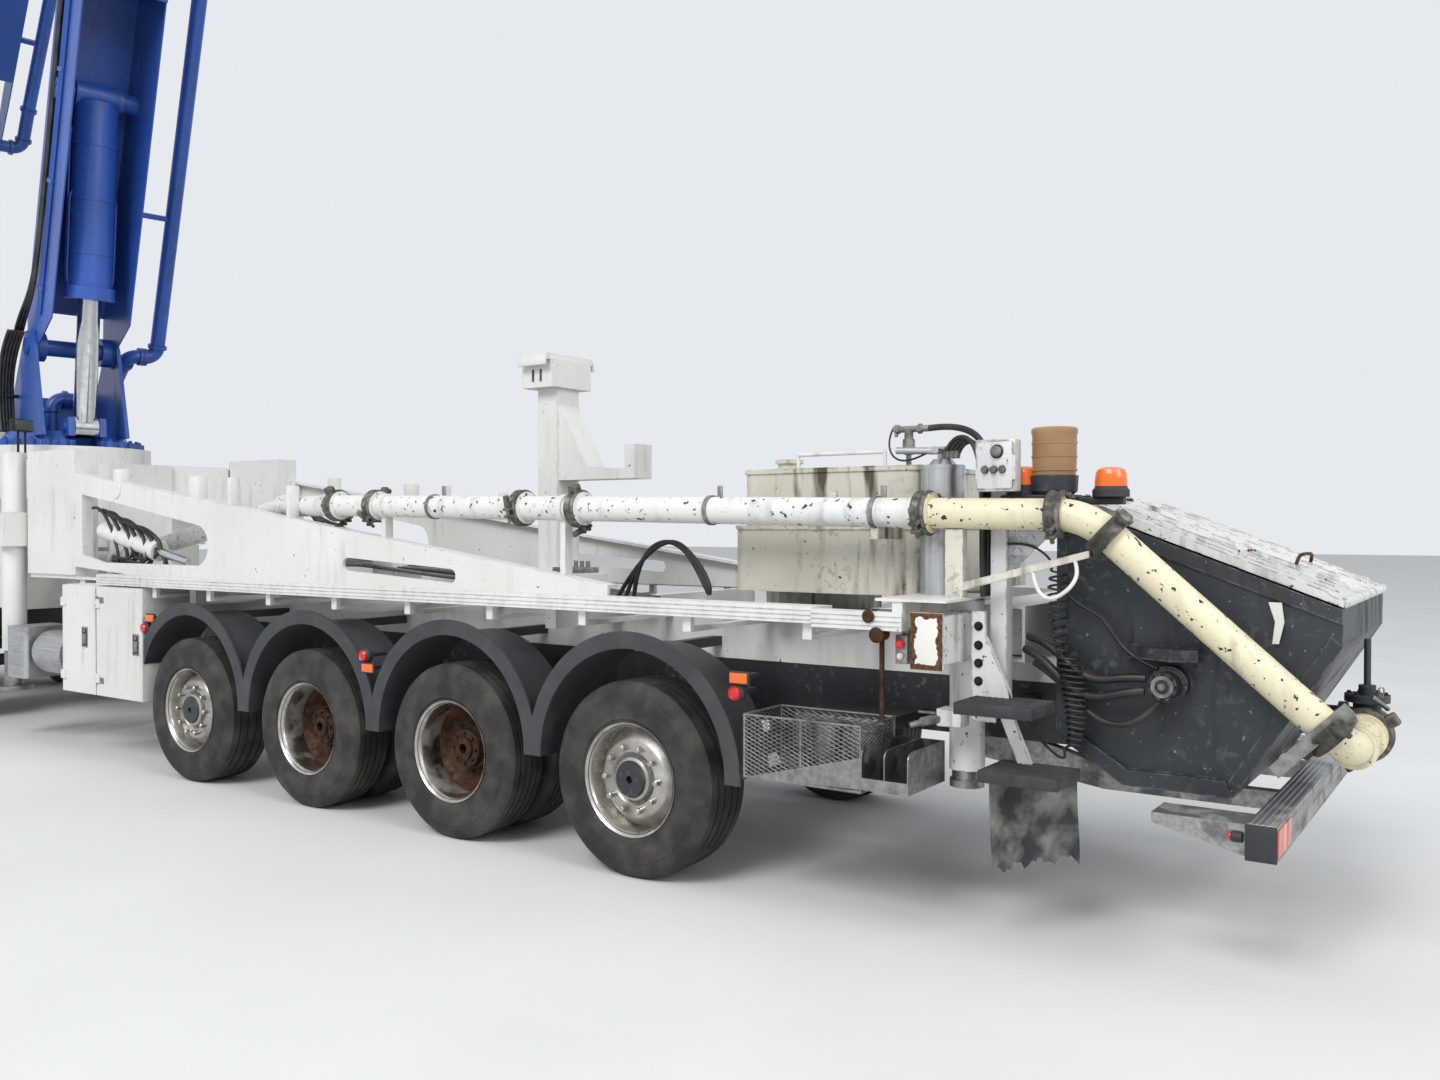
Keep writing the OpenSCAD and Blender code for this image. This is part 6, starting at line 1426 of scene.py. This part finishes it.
# %% Work lights
PEDESTAL_TOP = 2.462
lights, glasses = [], []
for x, y, z in ((7.05, 1.02, 2.66), (7.62, 0.70, 2.70)):
    lights += [block("case", BLACK_BOLT, (x - 0.05, y - 0.055, z), (x + 0.05, y + 0.055, z + 0.11), 0.010),
               rod("stalk", BLACK_BOLT, (x, y, PEDESTAL_TOP), (x, y, z + 0.01), 0.010),
               block("shoe", BLACK_BOLT, (x - 0.03, y - 0.03, 2.460), (x + 0.03, y + 0.03, 2.470), 0.002)]
    glasses.append(block("glass", GLASS, (x - 0.056, y - 0.045, z + 0.010),
                         (x - 0.050, y + 0.045, z + 0.100), 0.002))
done(join(lights, "work_lights"), "truck", "frame_paint")
done(join(glasses, "work_light_glasses"), "truck", "glass")

# %% [markdown]
# ## Tank and cab details
# The tank has a grab rail, a lifting tab and a hatch with six bolts. Rods and blocks meet a
# little inside each other, as a weld would hide the joint.

# %% Tank rail and hatch
RAIL_Y, RAIL_ENDS = 0.700, (-0.70, -1.20)
tank = [rod("rail", WHITE, (RAIL_ENDS[0], RAIL_Y, 2.200), (RAIL_ENDS[1], RAIL_Y, 2.200), 0.010)]
tank += [rod("leg", WHITE, (x, RAIL_Y, 2.120), (x, RAIL_Y, 2.204), 0.010) for x in RAIL_ENDS]
tank += [block("hatch", WHITE, (-1.120, -0.250, 2.128), (-0.820, 0.250, 2.146), 0.006),
         block("tab", WORN_WHITE, (-0.960, 0.752, 1.960), (-0.910, 0.762, 2.010), 0.003)]
done(join(tank, "tank_rails"), "truck", "white_paint")
places = [(x, y, 2.146) for x in (-1.100, -0.970, -0.840) for y in (-0.225, 0.225)]
done(bolts("hatch_bolts", STEEL, places, (0, 0, 1), 0.010), "truck", "bare_steel")

# %% [markdown]
# The cab's doors have a grip in a dark shell each. A cut recess would change the CAD solid, so
# a thin dark block stands for it. It rides on its door's body and swings with it.

# %% Door handles
for side, sign in (("left", 1), ("right", -1)):
    body = "cab_door_" + side
    y0, y1 = sorted((sign * 1.2495, sign * 1.262))
    grip_y0, grip_y1 = sorted((sign * 1.258, sign * 1.272))
    handle = [block("recess", TRIM, (10.16, y0, 1.88), (10.36, y1, 1.95), 0.006),
              block("grip", TRIM, (10.18, grip_y0, 1.905), (10.34, grip_y1, 1.930), 0.005)]
    done(join(handle, body + "_handle"), body, "interior")

# %% [markdown]
# Each headlamp has a pair of bright bowls behind a clear cover in its recess. Thin bars close
# the bumper's air intake, and the mirrors carry glasses on their rear faces.

# %% Headlamps, intake bars and mirror glasses
BOWL = [(0.020, 0.0), (0.052, 0.010), (0.070, 0.026), (0.074, 0.026), (0.056, 0.006), (0.020, -0.001)]
LAMP_Z = 0.700
bowls, lamp_covers, mirrors = [], [], []
for sign in (1, -1):
    for y in (0.830, 1.010):
        bowls.append(placed(turned("bowl", RIM_STEEL, BOWL, 32), aim((11.862, sign * y, LAMP_Z), (1, 0, 0))))
        bowls.append(rod("bulb", CHROME, (11.861, sign * y, LAMP_Z), (11.884, sign * y, LAMP_Z), 0.012, sides=16))
    y0, y1 = sorted((sign * 0.724, sign * 1.116))
    lamp_covers.append(block("cover", GLASS, (11.889, y0, 0.614), (11.894, y1, 0.786), 0.002))
    y0, y1 = sorted((sign * 1.285, sign * 1.455))
    mirrors.append(block("glass", CHROME, (11.397, y0, 2.170), (11.402, y1, 2.750), 0.001))
done(join(bowls, "headlamp_bowls"), "truck", "chrome_steel")
done(join(lamp_covers, "headlamp_covers"), "truck", "glass")
done(join(mirrors, "mirror_glasses"), "truck", "chrome_steel")
BAR_R = 0.005
bars = []
for k in range(25):
    y = -0.540 + 0.045 * k
    bars.append(rod("bar", BLACK_BOLT, (11.872, y, 0.556), (11.872, y, 0.764), BAR_R, sides=8))
bars += [rod("bar", BLACK_BOLT, (11.868, -0.566, z), (11.868, 0.566, z), BAR_R, sides=8)
         for z in (0.61, 0.66, 0.71)]
done(join(bars, "intake_bars"), "truck", "bare_steel")

# %% [markdown]
# ## Floor, light and camera
# The floor is a pale plane, far larger than the truck, with a faint cloud in its tone. It isn't part of the
# machine.

# %% Floor
fresh()
bpy.ops.mesh.primitive_plane_add(size=160, location=(0, 0, 0))
floor = bpy.context.active_object
floor.name = "floor"
floor_material, tree = new_material("pale_floor")
grain = noise_mask(tree, add(tree, "TexCoord").outputs["Object"], 0.8, 0.3, 0.7)
tone = add(tree, "Mix", {FACTOR: grain, UNDER: linear("#dcdcda"), OVER: linear("#d6d6d4")},
           **BLEND).outputs[MIXED]
ground = add(tree, "BsdfPrincipled", {"Base Color": tone, "Roughness": 0.9})
add(tree, "OutputMaterial", {"Surface": ground.outputs[0]})
floor.data.materials.append(floor_material)
print("floor laid")

# %% [markdown]
# The world has two strengths. What the camera sees of it directly, in a mirror or through
# glass is pale, and what lights the machine is a little dimmer, so white paint doesn't clip.

# %% World
world = bpy.data.worlds.new("studio")
bpy.context.scene.world = world
world.use_nodes = True
tree = world.node_tree
tree.nodes.clear()
rays = add(tree, "LightPath")
through = add(tree, "Math", {0: rays.outputs["Is Glossy Ray"], 1: rays.outputs["Is Transmission Ray"]},
              operation="MAXIMUM")
seen = add(tree, "Math", {0: rays.outputs["Is Camera Ray"], 1: through.outputs[0]}, operation="MAXIMUM")
soft = add(tree, "Background", {"Color": linear("#e8edf4"), "Strength": 0.75})
pale = add(tree, "Background", {"Color": linear("#e6e9ee"), "Strength": 1.0})
both = add(tree, "MixShader", {0: seen.outputs[0], 1: soft.outputs[0], 2: pale.outputs[0]})
add(tree, "OutputWorld", {"Surface": both.outputs[0]})
print("world ready")

# %% [markdown]
# Two large soft lamps stand high on the left and behind, as an overcast sky with a bright side.

# %% Lamps
def lamp(name, place, target, size, power):
    data = bpy.data.lights.new(name, "AREA")
    data.shape = "SQUARE"
    data.size = size
    data.energy = power
    lamp_object = bpy.data.objects.new(name, data)
    lamp_object.location = place
    lamp_object.rotation_euler = (Vector(target) - Vector(place)).to_track_quat("-Z", "Y").to_euler()
    bpy.context.collection.objects.link(lamp_object)
    print(name, "lamp of", power, "W")


lamp("key", (-6, 26, 24), (-1, 0, 2), 14, 7500)
lamp("fill", (-26, 4, 14), (-4, 0, 2), 12, 2600)

# %% [markdown]
# The camera stands where the photographer stood, behind and to the left, 1.83 m above the
# ground. Its focal length in pixels of the photo is turned into millimetres of a 36 mm sensor.

# %% Camera
PHOTO_W = 1440
FOCAL_PX = 1175.5
SENSOR_MM = 36
camera_data = bpy.data.cameras.new("camera")
camera_data.sensor_width = SENSOR_MM
camera_data.lens = FOCAL_PX / PHOTO_W * SENSOR_MM
camera_data.clip_end = 400
camera = bpy.data.objects.new("camera", camera_data)
camera.location = Vector((-3.862, 5.9585, 1.830)) + to_frame.translation
look = Vector((0.5711, -0.8208, -0.01156))
camera.rotation_euler = look.to_track_quat("-Z", "Y").to_euler()
bpy.context.collection.objects.link(camera)
bpy.context.scene.camera = camera
bpy.context.scene.view_settings.view_transform = "Standard"
print("camera lens", round(camera_data.lens, 2), "mm")

fresh()
